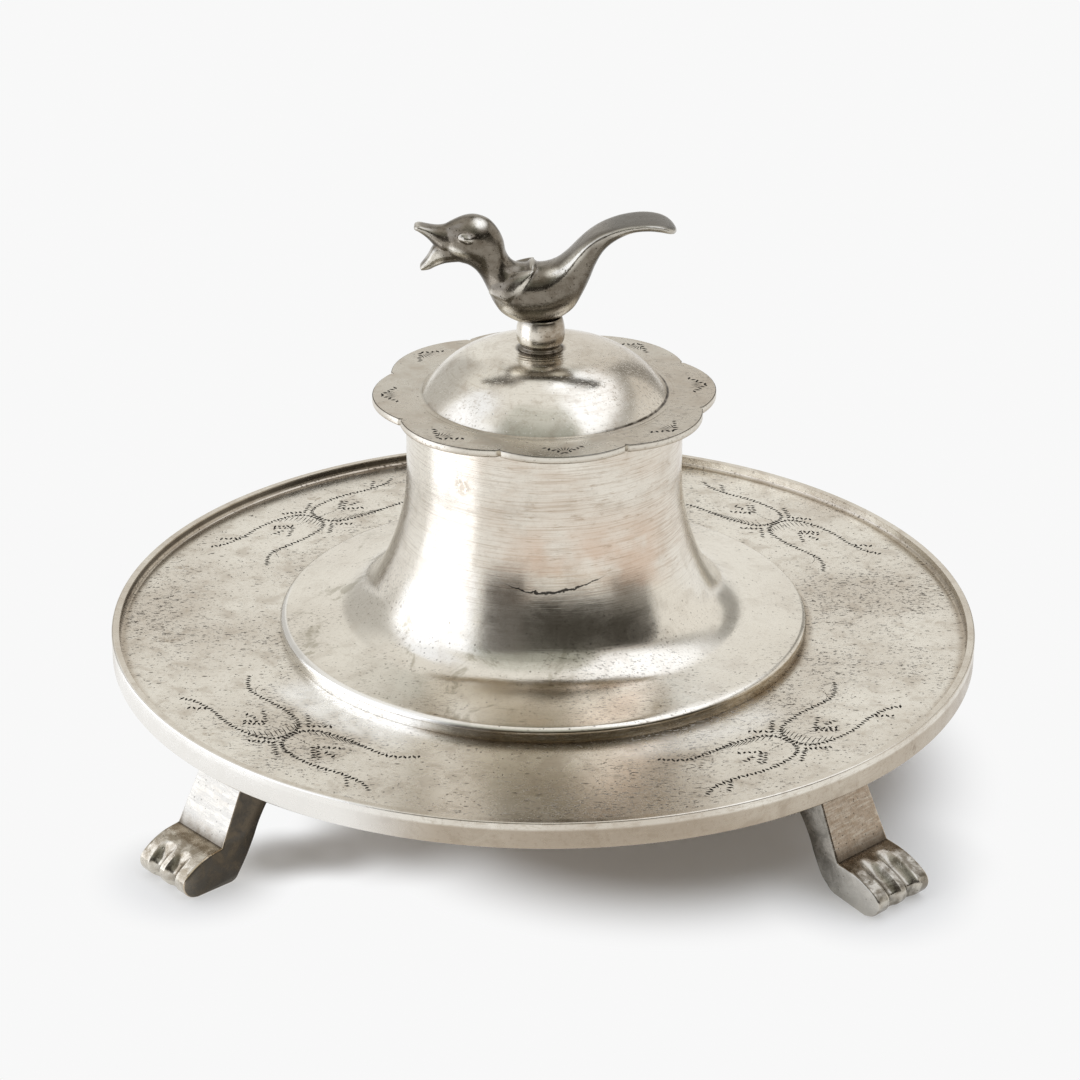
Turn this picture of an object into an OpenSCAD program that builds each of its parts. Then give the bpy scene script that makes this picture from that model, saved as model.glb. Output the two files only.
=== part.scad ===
// Desk inkstand: a round footed tray, a trumpet-shaped well with a loose glass liner,
// and a lift-off scalloped lid with a cast bird finial.
// Millimetres. Z up from the desk, front towards -Y, the bird looks towards -X.

/* [Tray] */
// Outside diameter of the tray
tray_d = 200; // [180:1:240]
// Thickness of the tray's plate
plate_t = 2.4; // [2:0.1:4]
// How far the rim stands above the tray's floor
lip_h = 2.3; // [1:0.1:8]
// How far the edge band hangs below the plate
skirt_h = 1.4; // [0.5:0.1:4]
// Width of the rim and band
rim_w = 1.7; // [1:0.1:4]
// Radius of the cove between the rim and the tray's floor
rim_cove_r = 0.9; // [0.2:0.1:1]

/* [Feet] */
// Height of the plate's underside above the desk
stand_h = 25.8; // [22:0.2:40]
// Width of a foot
foot_w = 15.6; // [10:0.2:22]
// Distance of the leg's front face from the edge band
foot_inset = 3; // [1:0.5:20]
// Thickness of the leg where it meets the plate
leg_root_t = 14.5; // [10:0.5:20]
// How far the paw reaches beyond the leg's front face at the plate
paw_reach = 16.5; // [14:0.5:24]
// Height of the paw at its front
paw_h = 7.8; // [6:0.2:11]
// Angle between one foot and the next
foot_step = 90; // [84:1:90]
// How far the four feet are turned from the front diagonal
foot_turn = -2.1; // [-10:0.1:10]

/* [Well] */
// Outside diameter of the well's neck
neck_d = 62.8; // [58:0.2:74]
// Outside diameter of the well's base
base_d = 122.6; // [112:0.2:136]
// Height of the well above the tray's floor
well_h = 55.6; // [50:0.2:80]
// Thickness of the well's wall
well_wall = 2; // [1.5:0.1:2.4]
// Height of the well's edge at its base
base_edge_h = 3; // [2.6:0.1:4]
// Height at which the neck starts to open out
flare_h = 40; // [36:0.5:48]
// Radius of the long upper curve of the flare
flare_r = 59; // [50:1:70]
// Slope of the skirt near its edge, in degrees
skirt_slope = 8; // [4:1:12]

/* [Liner] */
// Thickness of the ring that carries the liner
seat_t = 2; // [1.5:0.1:4]
// How far that ring stands in from the neck's bore
seat_w = 2.6; // [2:0.1:5]
// Thickness of the liner's flange
liner_flange_t = 2; // [1.5:0.1:4]
// Thickness of the glass
glass_t = 2.6; // [1.5:0.1:4]
// Depth of the liner below its flange
liner_depth = 42; // [30:1:44]

/* [Lid] */
// Diameter over the tips of the lid's lobes
lid_d = 78; // [74:0.2:96]
// Thickness of the lid's plate
lid_t = 1.7; // [1.2:0.1:3]
// Number of lobes round the lid
lobes = 8; // [6:1:12]
// Depth of the notches between the lobes
notch_h = 2.4; // [1:0.1:4]
// How far the lid is turned from the front
lid_turn = 6.8; // [-22:0.1:22]
// Diameter of the dome where it meets the plate
dome_d = 55.5; // [50:0.2:56]
// Height of the dome above the plate
dome_h = 10.2; // [7:0.2:18]
// Thickness of the dome's wall
dome_wall = 1.5; // [1.2:0.1:2.5]
// Height of the ring that centres the lid in the neck
collar_h = 4; // [3:0.2:8]
// Thickness of that ring
collar_t = 1.6; // [1:0.1:3]

/* [Finial] */
// How far the finial stands off the lid's axis
finial_x = -1; // [-2:0.1:2]
// Height of the turned stem
stem_h = 7.6; // [5:0.2:16]
// Diameter of the stem's barrel
stem_d = 10.9; // [8:0.1:13]
// Diameter of the fixing stud
stud_d = 3; // [2.5:0.1:4]
// How far the stud goes into the bird
stud_grip = 6; // [4:0.5:8]
// Diameter of the washer inside the dome
washer_d = 12; // [9:0.5:14]
// Thickness of that washer
washer_t = 1; // [0.6:0.1:2]
// Width across the flats of the nut
nut_flats = 6.4; // [5.5:0.1:8]
// Thickness of the nut
nut_t = 2.4; // [2:0.1:4]
// How far the bird's beak reaches in front of the stem
beak_reach = 28; // [24:0.5:34]
// How far the bird's tail reaches behind the stem
tail_reach = 29.6; // [24:0.5:36]
// Height of the bird from its belly to the top of its head
bird_h = 24; // [21:0.5:32]
// Width of the bird's body
bird_w = 14; // [12:0.5:18]
// Width of the bird's tail
tail_w = 9; // [6:0.5:12]
// Thickness of the tail near its tip
tail_t = 2.2; // [1.5:0.1:4]

/* [Fits] */
// Gap between a piece that lifts out and the bore that it drops into
lift_gap = 0.45; // [0.3:0.05:0.8]
// Height of the space between the liner and the lid's ring
stack_gap = 0.6; // [0.3:0.1:2]
// Gap round the stud in the pieces that it passes through
stud_gap = 0.1; // [0.05:0.05:0.3]

/* [Hidden] */
$fn = 96;
pewter = "silver";

tray_r = tray_d / 2;
floor_z = stand_h + plate_t;
rim_z = floor_z + lip_h;
edge_break = 0.3;
band_in_r = tray_r - rim_w;

neck_r = neck_d / 2;
bore_r = neck_r - well_wall;
base_r = base_d / 2;
neck_z = floor_z + well_h;
base_land = 4;
lip_round = 0.6;

collar_r = bore_r - lift_gap;
liner_flange_z = neck_z - collar_h - stack_gap - liner_flange_t;
liner_flange_r = bore_r - lift_gap;
seat_in_r = bore_r - seat_w;
liner_r = seat_in_r - lift_gap;
liner_foot_r = 3;

lid_z = neck_z + lid_t;
dome_r = dome_d / 2;
dome_land = 4.9;
dome_top_z = lid_z + dome_h;
dome_in_z = dome_top_z - dome_wall;
washer_land = washer_d / 2 + 1;
collar_in_r = collar_r - collar_t;

stem_r = stem_d / 2;
stud_r = stud_d / 2;
stem_foot_h = 1;
// How far the stem's foot, waist and top stay inside its barrel
stem_foot_in = 0.87;
stem_waist_in = 1.25;
stem_top_in = 0.76;
stem_bead = 0.2;
stem_fullness = 0.6;
seat_flat = 1;
cut = 1;
stud_tail = 1;
belly_z = dome_top_z + stem_h - seat_flat;
nut_z = dome_in_z - washer_t - nut_t;

// Points on an arc of radius r about c, from angle a0 to a1 in n steps
function arc(c, r, a0, a1, n) =
    [for (i = [0:n]) let (a = a0 + (a1 - a0) * i / n) [c[0] + r * cos(a), c[1] + r * sin(a)]];

// ---- Tray ----
module tray() {
    cove_c = [band_in_r - rim_cove_r, floor_z + rim_cove_r];
    color(pewter) rotate_extrude($fn = 180) polygon(concat(
        [[0, stand_h], [band_in_r, stand_h], [band_in_r, stand_h - skirt_h],
         [tray_r - edge_break, stand_h - skirt_h], [tray_r, stand_h - skirt_h + edge_break],
         [tray_r, rim_z - edge_break], [tray_r - edge_break, rim_z],
         [band_in_r + edge_break, rim_z], [band_in_r, rim_z - edge_break]],
        arc(cove_c, rim_cove_r, 0, -90, 5),
        [[0, floor_z]]));
}

// ---- Feet ----
// Each foot is one casting: a raked leg with a square section that bends out into a paw.
leg_front_r = band_in_r - foot_inset;
leg_back_r = leg_front_r - leg_root_t;
toe_r = leg_front_r + paw_reach;
// The crease where the leg's front face meets the paw
crease_r = leg_front_r + 5.6;
crease_z = paw_h + 1.4;
knuckle_r = crease_r + 3.2;
knuckle_z = paw_h + 0.5;
nose_r = 0.5 * paw_h;
nose_drop = 0.5;
nose_c = [toe_r - nose_r, paw_h - nose_r - nose_drop];
toe_tuck = 2.6;
heel_r = leg_front_r + 5.2;
heel_bend = [leg_front_r - 1.8, 0.37 * stand_h];
heel_steps = 6;
toe_groove_r = 1.5;
toe_groove_d = 1;
toe_groove_a = 45;

// Points on the quadratic curve from p0 to p2 that bends towards p1
function bend(p0, p1, p2, n) =
    [for (i = [0:n]) let (t = i / n) pow(1 - t, 2) * p0 + 2 * (1 - t) * t * p1 + t * t * p2];

function foot_outline() = concat(
    [[leg_front_r, stand_h], [crease_r, crease_z], [knuckle_r, knuckle_z]],
    arc(nose_c, nose_r, 70, -30, 6),
    [[toe_r - toe_tuck, 0]],
    bend([heel_r, 0], heel_bend, [leg_back_r, stand_h], heel_steps));

module toe_groove(side) {
    out = nose_r + toe_groove_r - toe_groove_d;
    translate([nose_c[0] + out * cos(toe_groove_a), side * foot_w / 6,
               nose_c[1] + out * sin(toe_groove_a)])
        rotate([0, 90 + toe_groove_a, 0])
            cylinder(h = 1.3 * paw_h, r = toe_groove_r, center = true, $fn = 24);
}

module foot(turn) {
    rotate([0, 0, turn])
        color(pewter) difference() {
            translate([0, foot_w / 2, 0])
                rotate([90, 0, 0])
                    linear_extrude(foot_w) polygon(foot_outline());
            for (side = [-1, 1]) toe_groove(side);
        }
}

front_az = -90 + foot_turn;
rear_az = 90 + foot_turn;
module foot_front_left() { foot(front_az - foot_step / 2); }
module foot_front_right() { foot(front_az + foot_step / 2); }
module foot_rear_left() { foot(rear_az + foot_step / 2); }
module foot_rear_right() { foot(rear_az - foot_step / 2); }

// ---- Well ----
// The outline runs down the straight neck, round the long flare curve, round a tighter curve
// into the skirt, and straight out to the edge. off moves it into the metal.
flare_a = 29.4;
skirt_a = 90 - skirt_slope;
flare_end_r = neck_r + flare_r * (1 - cos(flare_a));
flare_end_h = flare_h - flare_r * sin(flare_a);
turn_r = (flare_end_h - base_edge_h - (base_r - flare_end_r) * tan(skirt_slope))
    / ((sin(skirt_a) - sin(flare_a)) - (cos(flare_a) - cos(skirt_a)) * tan(skirt_slope));
turn_c = [flare_end_r + turn_r * cos(flare_a), flare_end_h + turn_r * sin(flare_a)];

function flare_line(off) = concat(
    [[neck_r - off, well_h]],
    arc([neck_r + flare_r, flare_h], flare_r + off, 180, 180 + flare_a, 10),
    arc(turn_c, turn_r + off, 180 + flare_a + 4, 180 + skirt_a, 10));

module well_body() {
    skirt_end = base_r - base_land;
    skirt_drop = (base_r - skirt_end) * tan(skirt_slope);
    roof_h = base_edge_h + skirt_drop - well_wall / cos(skirt_slope);
    inner = flare_line(well_wall);
    color(pewter) translate([0, 0, floor_z]) rotate_extrude($fn = 128) polygon(concat(
        flare_line(0),
        arc([base_r - lip_round, base_edge_h - lip_round], lip_round, 90 - skirt_slope, 0, 3),
        [[base_r, 0], [skirt_end, 0], [skirt_end, roof_h]],
        [for (i = [len(inner) - 1:-1:0]) inner[i]]));
}

// ---- Liner and its seat ----
module liner_seat() {
    color(pewter) translate([0, 0, liner_flange_z - seat_t]) difference() {
        cylinder(h = seat_t, r = bore_r);
        translate([0, 0, -cut]) cylinder(h = seat_t + 2 * cut, r = seat_in_r);
    }
}

module glass_liner() {
    top = liner_flange_z + liner_flange_t;
    low = liner_flange_z - liner_depth;
    inner_r = liner_r - glass_t;
    color("lightcyan") rotate_extrude() polygon(concat(
        [[0, low]],
        arc([liner_r - liner_foot_r, low + liner_foot_r], liner_foot_r, -90, 0, 5),
        [[liner_r, liner_flange_z], [liner_flange_r - edge_break, liner_flange_z],
         [liner_flange_r, liner_flange_z + edge_break], [liner_flange_r, top - edge_break],
         [liner_flange_r - edge_break, top], [inner_r + edge_break, top], [inner_r, top - edge_break]],
        arc([inner_r - liner_foot_r, low + glass_t + liner_foot_r], liner_foot_r, 0, -90, 5),
        [[0, low + glass_t]]));
}

// ---- Lid ----
// The lobes are circles whose tips reach lid_d and that cross at the notches.
lobe_tip_r = lid_d / 2;
notch_r = lobe_tip_r - notch_h;
half_lobe = 180 / lobes;
lobe_c = (lobe_tip_r * lobe_tip_r - notch_r * notch_r)
    / (2 * (lobe_tip_r - notch_r * cos(half_lobe)));
lobe_r = lobe_tip_r - lobe_c;
lobe_a = atan2(notch_r * sin(half_lobe), notch_r * cos(half_lobe) - lobe_c);
lobe_steps = 10;
lid_hole_land = 0.6;
lid_hole_r = dome_r - dome_wall - lid_hole_land;

function lobe_line(turn) = [for (i = [0:lobe_steps - 1])
    let (a = lobe_a * (2 * i / lobe_steps - 1))
    [lobe_c * cos(turn) + lobe_r * cos(turn + a), lobe_c * sin(turn) + lobe_r * sin(turn + a)]];

module lid_plate() {
    color(pewter) translate([0, 0, neck_z]) difference() {
        linear_extrude(lid_t) polygon(
            [for (i = [0:lobes - 1]) each lobe_line(-90 + lid_turn + i * 360 / lobes)]);
        translate([0, 0, -cut]) cylinder(h = lid_t + 2 * cut, r = lid_hole_r);
    }
}

// The dome's outline is a power curve from a small flat on top down to its foot
dome_power = 3;
function dome_line(r, h, land, n) =
    [for (i = [0:n]) let (t = i / n) [land + (r - land) * t, h * (1 - pow(t, dome_power))]];

module lid_dome() {
    inner = dome_line(dome_r - dome_wall, dome_h - dome_wall, washer_land, 14);
    color(pewter) translate([0, 0, lid_z]) difference() {
        rotate_extrude() polygon(concat(
            [[0, dome_h]], dome_line(dome_r, dome_h, dome_land, 16),
            [for (i = [len(inner) - 1:-1:0]) inner[i]],
            [[0, dome_h - dome_wall]]));
        translate([finial_x, 0, dome_h - 2 * dome_wall])
            cylinder(h = 3 * dome_wall, r = stud_r + stud_gap, $fn = 32);
    }
}

module lid_collar() {
    color(pewter) translate([0, 0, neck_z - collar_h]) difference() {
        cylinder(h = collar_h, r = collar_r);
        translate([0, 0, -cut]) cylinder(h = collar_h + 2 * cut, r = collar_in_r);
    }
}

// ---- Finial ----
module finial_stem() {
    foot_r = stem_r - stem_foot_in;
    waist_r = stem_r - stem_waist_in;
    top_r = stem_r - stem_top_in;
    bulge = (stem_waist_in + stem_top_in) / 2;
    hole_r = stud_r + stud_gap;
    color(pewter) translate([finial_x, 0, dome_top_z]) rotate_extrude() polygon(concat(
        [[hole_r, 0], [foot_r, 0], [foot_r + stem_bead, stem_foot_h / 3], [foot_r, 0.6 * stem_foot_h]],
        [for (i = [0:12]) let (t = i / 12)
            [waist_r + (top_r - waist_r) * t + bulge * pow(sin(180 * t), stem_fullness),
             stem_foot_h + (stem_h - stem_foot_h) * t]],
        [[hole_r, stem_h]]));
}

module finial_stud() {
    color("darkgray") translate([finial_x, 0, nut_z - stud_tail])
        cylinder(h = belly_z + stud_grip - nut_z + stud_tail, r = stud_r, $fn = 32);
}

module finial_washer() {
    color("darkgray") translate([finial_x, 0, dome_in_z - washer_t]) difference() {
        cylinder(h = washer_t, r = washer_d / 2, $fn = 48);
        translate([0, 0, -cut]) cylinder(h = washer_t + 2 * cut, r = stud_r + stud_gap, $fn = 32);
    }
}

module finial_nut() {
    color("darkgray") translate([finial_x, 0, nut_z]) difference() {
        cylinder(h = nut_t, d = nut_flats / cos(30), $fn = 6);
        translate([0, 0, -cut]) cylinder(h = nut_t + 2 * cut, r = stud_r + stud_gap, $fn = 32);
    }
}

// ---- Bird ----
// One casting, measured from the middle of its belly: an open beak, a round head on a bent
// neck, a full body and a raised flat tail whose upper face follows one long curve.
bird_fn = 20;
body_r = bird_w / 2;
breast_r = 0.86 * body_r;
rump_r = 0.78 * body_r;
neck_ball_r = 3.7;
head_r = 5;
upper_root_r = 0.8 * head_r;
lower_root_r = 0.56 * head_r;
beak_w = 3.6;
beak_t = 1.6;
bore_end = 0.3;
head_at = [-0.51 * beak_reach, 0, bird_h - head_r];
neck_at = [-0.4 * beak_reach, 0, 0.56 * bird_h];
breast_at = [-0.14 * beak_reach, 0, 0.9 * body_r];
rump_at = [0.18 * tail_reach, 0, 1.2 * body_r];
upper_root = head_at - [2, 0, 0];
lower_root = head_at - [2.4, 0, 2.2];
upper_tip = [1 - beak_reach, 0, 0.88 * bird_h];
lower_tip = [2.6 - beak_reach, 0, 0.53 * bird_h];
tail_line = [[0.1 * tail_reach, 0.47 * bird_h], [0.3 * tail_reach, 0.83 * bird_h],
    [0.54 * tail_reach, 1.05 * bird_h], [tail_reach, 0.87 * bird_h]];
tail_root_t = 8;
tail_steps = 12;

module ball(at, r) {
    translate(at) sphere(r, $fn = bird_fn);
}

// Two small balls side by side, the flat end of a beak
module beak_end(at) {
    for (side = [-1, 1])
        translate(at + [0, side * (beak_w - beak_t) / 2, 0]) sphere(beak_t / 2, $fn = 12);
}

function curve_at(p, t) = pow(1 - t, 3) * p[0] + 3 * pow(1 - t, 2) * t * p[1]
    + 3 * (1 - t) * t * t * p[2] + pow(t, 3) * p[3];
function curve_dir(p, t) =
    let (d = pow(1 - t, 2) * (p[1] - p[0]) + 2 * (1 - t) * t * (p[2] - p[1])
        + t * t * (p[3] - p[2]))
    d / norm(d);
function tail_thick(t) = tail_t + (tail_root_t - tail_t) * pow(1 - t, 2);
function tail_under(t) =
    let (d = curve_dir(tail_line, t))
    curve_at(tail_line, t) + tail_thick(t) * [d[1], -d[0]];

module tail() {
    translate([0, tail_w / 2, 0]) rotate([90, 0, 0]) linear_extrude(tail_w) polygon(concat(
        [for (i = [0:tail_steps]) curve_at(tail_line, i / tail_steps)],
        [for (i = [tail_steps:-1:0]) tail_under(i / tail_steps)]));
}

module bird() {
    color("dimgray") translate([finial_x, 0, belly_z]) difference() {
        union() {
            hull() {
                ball(breast_at, breast_r);
                ball([0, 0, body_r], body_r);
                ball(rump_at, rump_r);
            }
            hull() {
                ball(breast_at, breast_r);
                ball(neck_at, neck_ball_r);
            }
            hull() {
                ball(neck_at, neck_ball_r);
                ball(head_at, head_r);
            }
            hull() {
                ball(upper_root, upper_root_r);
                beak_end(upper_tip);
            }
            hull() {
                ball(lower_root, lower_root_r);
                beak_end(lower_tip);
            }
            tail();
        }
        translate([0, 0, -cut])
            cylinder(h = stud_grip + bore_end + cut, r = stud_r + stud_gap, $fn = 32);
        translate([0, 0, -cut]) cylinder(h = seat_flat + cut, r = stem_r);
    }
}

tray();
foot_front_left();
foot_front_right();
foot_rear_left();
foot_rear_right();
well_body();
liner_seat();
glass_liner();
lid_plate();
lid_dome();
lid_collar();
finial_stem();
finial_stud();
finial_washer();
finial_nut();
bird();
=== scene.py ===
"""Desk inkstand: a round pewter tray on four paw feet, a trumpet-shaped well with a loose
glass liner, and a scalloped lift-off lid with a bird finial.

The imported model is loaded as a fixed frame, and every piece is built round it in metres,
with +Z up from the desk, the front towards -Y and the bird looking towards -X.
"""

import math

import bmesh
import bpy
from bpy.props import FloatProperty, FloatVectorProperty, IntProperty, PointerProperty
from bpy.types import Operator, Panel, PropertyGroup
from mathutils import Matrix, Vector


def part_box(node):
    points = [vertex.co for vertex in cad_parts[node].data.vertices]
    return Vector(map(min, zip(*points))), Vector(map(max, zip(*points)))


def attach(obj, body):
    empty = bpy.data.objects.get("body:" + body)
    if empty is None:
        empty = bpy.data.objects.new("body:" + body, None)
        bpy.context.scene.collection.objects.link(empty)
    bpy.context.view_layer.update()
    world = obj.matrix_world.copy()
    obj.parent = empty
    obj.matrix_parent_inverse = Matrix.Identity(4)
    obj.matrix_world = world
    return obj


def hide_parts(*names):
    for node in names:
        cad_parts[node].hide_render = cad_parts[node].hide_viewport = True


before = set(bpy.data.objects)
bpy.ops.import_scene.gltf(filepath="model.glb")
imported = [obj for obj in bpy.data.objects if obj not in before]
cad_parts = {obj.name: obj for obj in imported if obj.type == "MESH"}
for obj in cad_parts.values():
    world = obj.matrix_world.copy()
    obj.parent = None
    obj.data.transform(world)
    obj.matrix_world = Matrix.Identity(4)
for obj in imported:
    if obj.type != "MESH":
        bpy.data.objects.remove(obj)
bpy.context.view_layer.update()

bl_info = {
    "name": "Desk Inkstand",
    "version": (1, 0, 0),
    "blender": (4, 5, 0),
    "location": "3D View > Sidebar > Inkstand",
    "description": "Builds a footed pewter inkstand with a glass liner and a bird finial",
    "category": "Add Mesh",
}

MM = 0.001
FLAT = 1e-7  # a radius or length below this counts as none
EASED = 0.3 * MM  # rounding of small corners
MIDDLE_R = 60 * MM  # a ring of points in the tray's flats
PAW_TOP = 9.2  # mm above the desk, where a leg bends out into its paw
TAPER_FROM = 9 * MM  # height from which a leg tapers
FOOT_COLUMNS = 44
FAN_R = 37.0 * MM  # from the axis to the foot of each fan on the lid
CURVED_BELOW = 0.9999  # upward part of a face's normal, under which it isn't part of the plane

# Places taken from the frame
tray_low, tray_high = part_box("tray")
well_low, well_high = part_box("well_body")
plate_low, plate_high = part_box("lid_plate")
dome_low, dome_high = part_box("lid_dome")
collar_low, collar_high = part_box("lid_collar")
stem_low, stem_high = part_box("finial_stem")
liner_low, liner_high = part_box("glass_liner")
TRAY_R = tray_high.x
BAND_Z = tray_low.z
RIM_Z = tray_high.z
UNDER_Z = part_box("foot_front_left")[1].z
FLOOR_Z = well_low.z
BASE_R = well_high.x
NECK_Z = well_high.z
LID_TOP_Z = plate_high.z
DOME_R = dome_high.x
STEM_X = (stem_low.x + stem_high.x) / 2

# The same places in mm, for the finishes
TRAY_R_MM = TRAY_R / MM
BAND_Z_MM = BAND_Z / MM
RIM_Z_MM = RIM_Z / MM
UNDER_Z_MM = UNDER_Z / MM
BASE_R_MM = BASE_R / MM
LID_TOP_Z_MM = LID_TOP_Z / MM
DOME_R_MM = DOME_R / MM
STEM_X_MM = STEM_X / MM


# ---- Settings ---------------------------------------------------------------------------


def length(name, text, millimetres):
    return FloatProperty(
        name=name, description=text, default=millimetres * MM, unit="LENGTH", precision=5
    )


def angle(name, text, degrees):
    return FloatProperty(
        name=name, description=text, default=math.radians(degrees), subtype="ANGLE"
    )


def share(name, text, value):
    return FloatProperty(
        name=name, description=text, default=value, subtype="FACTOR", soft_min=0, soft_max=1
    )


def colour(name, text, rgb):
    return FloatVectorProperty(
        name=name, description=text, default=rgb, size=3, subtype="COLOR", min=0, max=1
    )


class TraySettings(PropertyGroup):
    rim_width: length("Rim width", "Width of the flat rim and of the edge band", 1.7)
    cove: length("Cove", "Radius of the curve from the floor up to the rim", 0.9)
    edge: length("Edge", "Rounding of the rim's edges", 0.35)


class FootSettings(PropertyGroup):
    turn: angle("Turn", "How far the four feet are turned from the diagonals", -2.1)
    width: length("Width", "Width of the leg at the paw", 16.1)
    taper: share("Taper", "How much narrower the leg is at its top", 0.13)
    inset: length("Inset", "From the tray's edge to the leg's front face", 4.7)
    edge: length("Edge", "Rounding of the leg's edges", 0.45)
    flute_width: length("Flute width", "Width of the scoops between the toes", 3.9)
    flute_depth: length("Flute depth", "Depth of the scoops between the toes", 1.5)


class WellSettings(PropertyGroup):
    neck_r: length("Neck radius", "Outside radius of the straight neck", 31.4)
    wall: length("Wall", "Thickness of the well's wall", 2.0)
    edge_h: length("Edge height", "Height of the upright edge at the well's base", 3.0)
    flare_h: length("Flare height", "Height where the neck starts to open out", 40.0)
    flare_r: length("Flare radius", "Radius of the long upper curve", 59.0)
    flare_a: angle("Flare angle", "Slope where the long curve meets the tight one", 29.4)
    skirt_a: angle("Skirt slope", "Slope of the skirt near its edge", 8.0)
    land: length("Land", "Width of the ring that stands on the tray", 4.0)
    edge: length("Edge", "Rounding of the skirt's edge", 1.4)


class LinerSettings(PropertyGroup):
    glass: length("Glass", "Thickness of the glass", 2.6)
    flange: length("Flange", "Thickness of the liner's flange", 2.0)
    body_r: length("Body radius", "Outside radius below the flange", 26.35)
    foot: length("Foot", "Rounding of the liner's foot", 3.0)
    lip: length("Lip", "Rounding of the lip and flange", 0.7)


class LidSettings(PropertyGroup):
    lobes: IntProperty(name="Lobes", description="Lobes round the lid", default=8, min=3)
    turn: angle("Turn", "How far the first lobe is turned from the front", 6.8)
    tip_r: length("Tip radius", "Radius over the tips of the lobes", 39.0)
    notch: length("Notch", "Depth of the notches between the lobes", 2.4)
    nick: length("Nick", "Depth of the small cut at the bottom of each notch", 0.55)
    hole_r: length("Hole radius", "Radius of the hole under the dome", 25.65)
    edge: length("Edge", "Rounding of the plate's edge", 0.3)
    dome_wall: length("Dome wall", "Thickness of the dome", 1.5)
    dome_land: length("Dome land", "Radius of the flat on top of the dome", 4.9)
    dome_power: FloatProperty(
        name="Dome power", description="Fullness of the dome's curve", default=3.0, min=2
    )
    collar_t: length("Ring", "Thickness of the centring ring", 1.6)


class FinialSettings(PropertyGroup):
    barrel: length("Barrel", "Radius of the stem's barrel", 5.45)
    bore: length("Bore", "Radius of the bore for the stud", 1.6)
    grain: length("Casting grain", "Size of the facets that the bird is modelled with", 0.26)


class EngravingSettings(PropertyGroup):
    circle: length("Circle", "Radius of the circle that the groups stand on", 78.6)
    pitch: length("Pitch", "From one tick to the next", 1.0)
    tick: length("Tick length", "Length of one tick", 1.9)
    width: length("Tick width", "Width of one tick", 0.78)
    line: length("Line width", "Width of one hatch line", 0.28)
    depth: length("Tick depth", "Depth of one tick", 0.2)
    slant: angle("Slant", "How far the ticks lean, first one way and then the other", 24)


class PewterSettings(PropertyGroup):
    metal: colour("Metal", "Clean pewter", (0.82, 0.78, 0.695))
    # also laid on as painted shade along the well's foot, on the neck under the lid and under the
    # plate
    tarnish_and_shade: colour("Tarnish", "Warm brown film", (0.45, 0.375, 0.29))
    pit: colour("Pit", "Dirt in pits", (0.075, 0.06, 0.045))
    cut: colour("Cut", "Old dirt in the engraving", (0.016, 0.013, 0.01))
    cast: colour("Cast pewter", "Dark cast pewter of the bird", (0.225, 0.198, 0.16))
    steel: colour("Steel", "Plain steel of the stud, washer and nut", (0.46, 0.45, 0.43))


class StageSettings(PropertyGroup):
    distance: length("Distance", "From the camera to the point it looks at", 700)
    aim_x: length("Aim across", "That point, left or right of the axis", -0.8692)
    aim_z: length("Aim height", "That point above the desk", 48.2)
    tilt: angle("Tilt", "How far the camera looks down", 24.59)
    roll: angle("Roll", "Turn about the line of sight", 0.321)
    lens: FloatProperty(name="Lens", description="Focal length", default=100.97, unit="CAMERA")
    floor: colour("Floor", "Pale paper sweep", (0.92, 0.925, 0.935))


GROUPS = {
    "tray": TraySettings,
    "feet": FootSettings,
    "well": WellSettings,
    "liner": LinerSettings,
    "lid": LidSettings,
    "finial": FinialSettings,
    "engraving": EngravingSettings,
    "pewter": PewterSettings,
    "stage": StageSettings,
}


class InkstandSettings(PropertyGroup):
    __annotations__ = {name: PointerProperty(type=kind) for name, kind in GROUPS.items()}


# ---- Outlines ---------------------------------------------------------------------------


def arc(centre, radius, start, end, steps):
    """Points on an arc, with its angles in radians."""
    turns = [start + (end - start) * i / steps for i in range(steps + 1)]
    return [(centre[0] + radius * math.cos(a), centre[1] + radius * math.sin(a)) for a in turns]


def rounded(corners, steps=4):
    """A closed outline from corners (x, y) or (x, y, radius), with the last kind rounded off."""
    outline = []
    for i, corner in enumerate(corners):
        here = Vector(corner[:2])
        if len(corner) == 2:
            outline.append(tuple(here))
            continue
        before = (Vector(corners[i - 1][:2]) - here).normalized()
        after = (Vector(corners[(i + 1) % len(corners)][:2]) - here).normalized()
        half = before.angle(after) / 2
        centre = here + (before + after).normalized() * corner[2] / math.sin(half)
        first = here + before * corner[2] / math.tan(half) - centre
        last = here + after * corner[2] / math.tan(half) - centre
        for k in range(steps + 1):
            t = k / steps
            spoke = first.lerp(last, t).normalized() * corner[2]
            outline.append(tuple(centre + spoke))
    return outline


def spline(points, steps):
    """A smooth line through points of any dimension, with steps from each to the next."""
    points = [Vector(p) for p in points]
    line = []
    for i in range(len(points) - 1):
        a, b = points[i], points[i + 1]
        before = points[i - 1] if i else a * 2 - b
        after = points[i + 2] if i + 2 < len(points) else b * 2 - a
        for k in range(steps):
            t = k / steps
            line.append(
                0.5
                * (
                    2 * a
                    + (b - before) * t
                    + (2 * before - 5 * a + 4 * b - after) * t**2
                    + (3 * a - before - 3 * b + after) * t**3
                )
            )
    return line + [points[-1]]


def smooth_line(points, steps=6):
    """The same line as plain tuples."""
    return [tuple(p) for p in spline(points, steps)]


# ---- Meshes -----------------------------------------------------------------------------


def placed(name, data):
    """A new object in the scene."""
    made = bpy.data.objects.new(name, data)
    bpy.context.scene.collection.objects.link(made)
    return made


def new_piece(name, bm, sharp=35.0):
    """A smooth-shaded object made from bm, with edges sharper than an angle kept crisp."""
    bmesh.ops.recalc_face_normals(bm, faces=bm.faces)
    mesh = bpy.data.meshes.new(name)
    bm.to_mesh(mesh)
    bm.free()
    piece = placed(name, mesh)
    shade(piece, sharp)
    return piece


def shade(piece, sharp):
    piece.data.shade_smooth()
    piece.data.set_sharp_from_angle(angle=math.radians(sharp))


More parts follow.
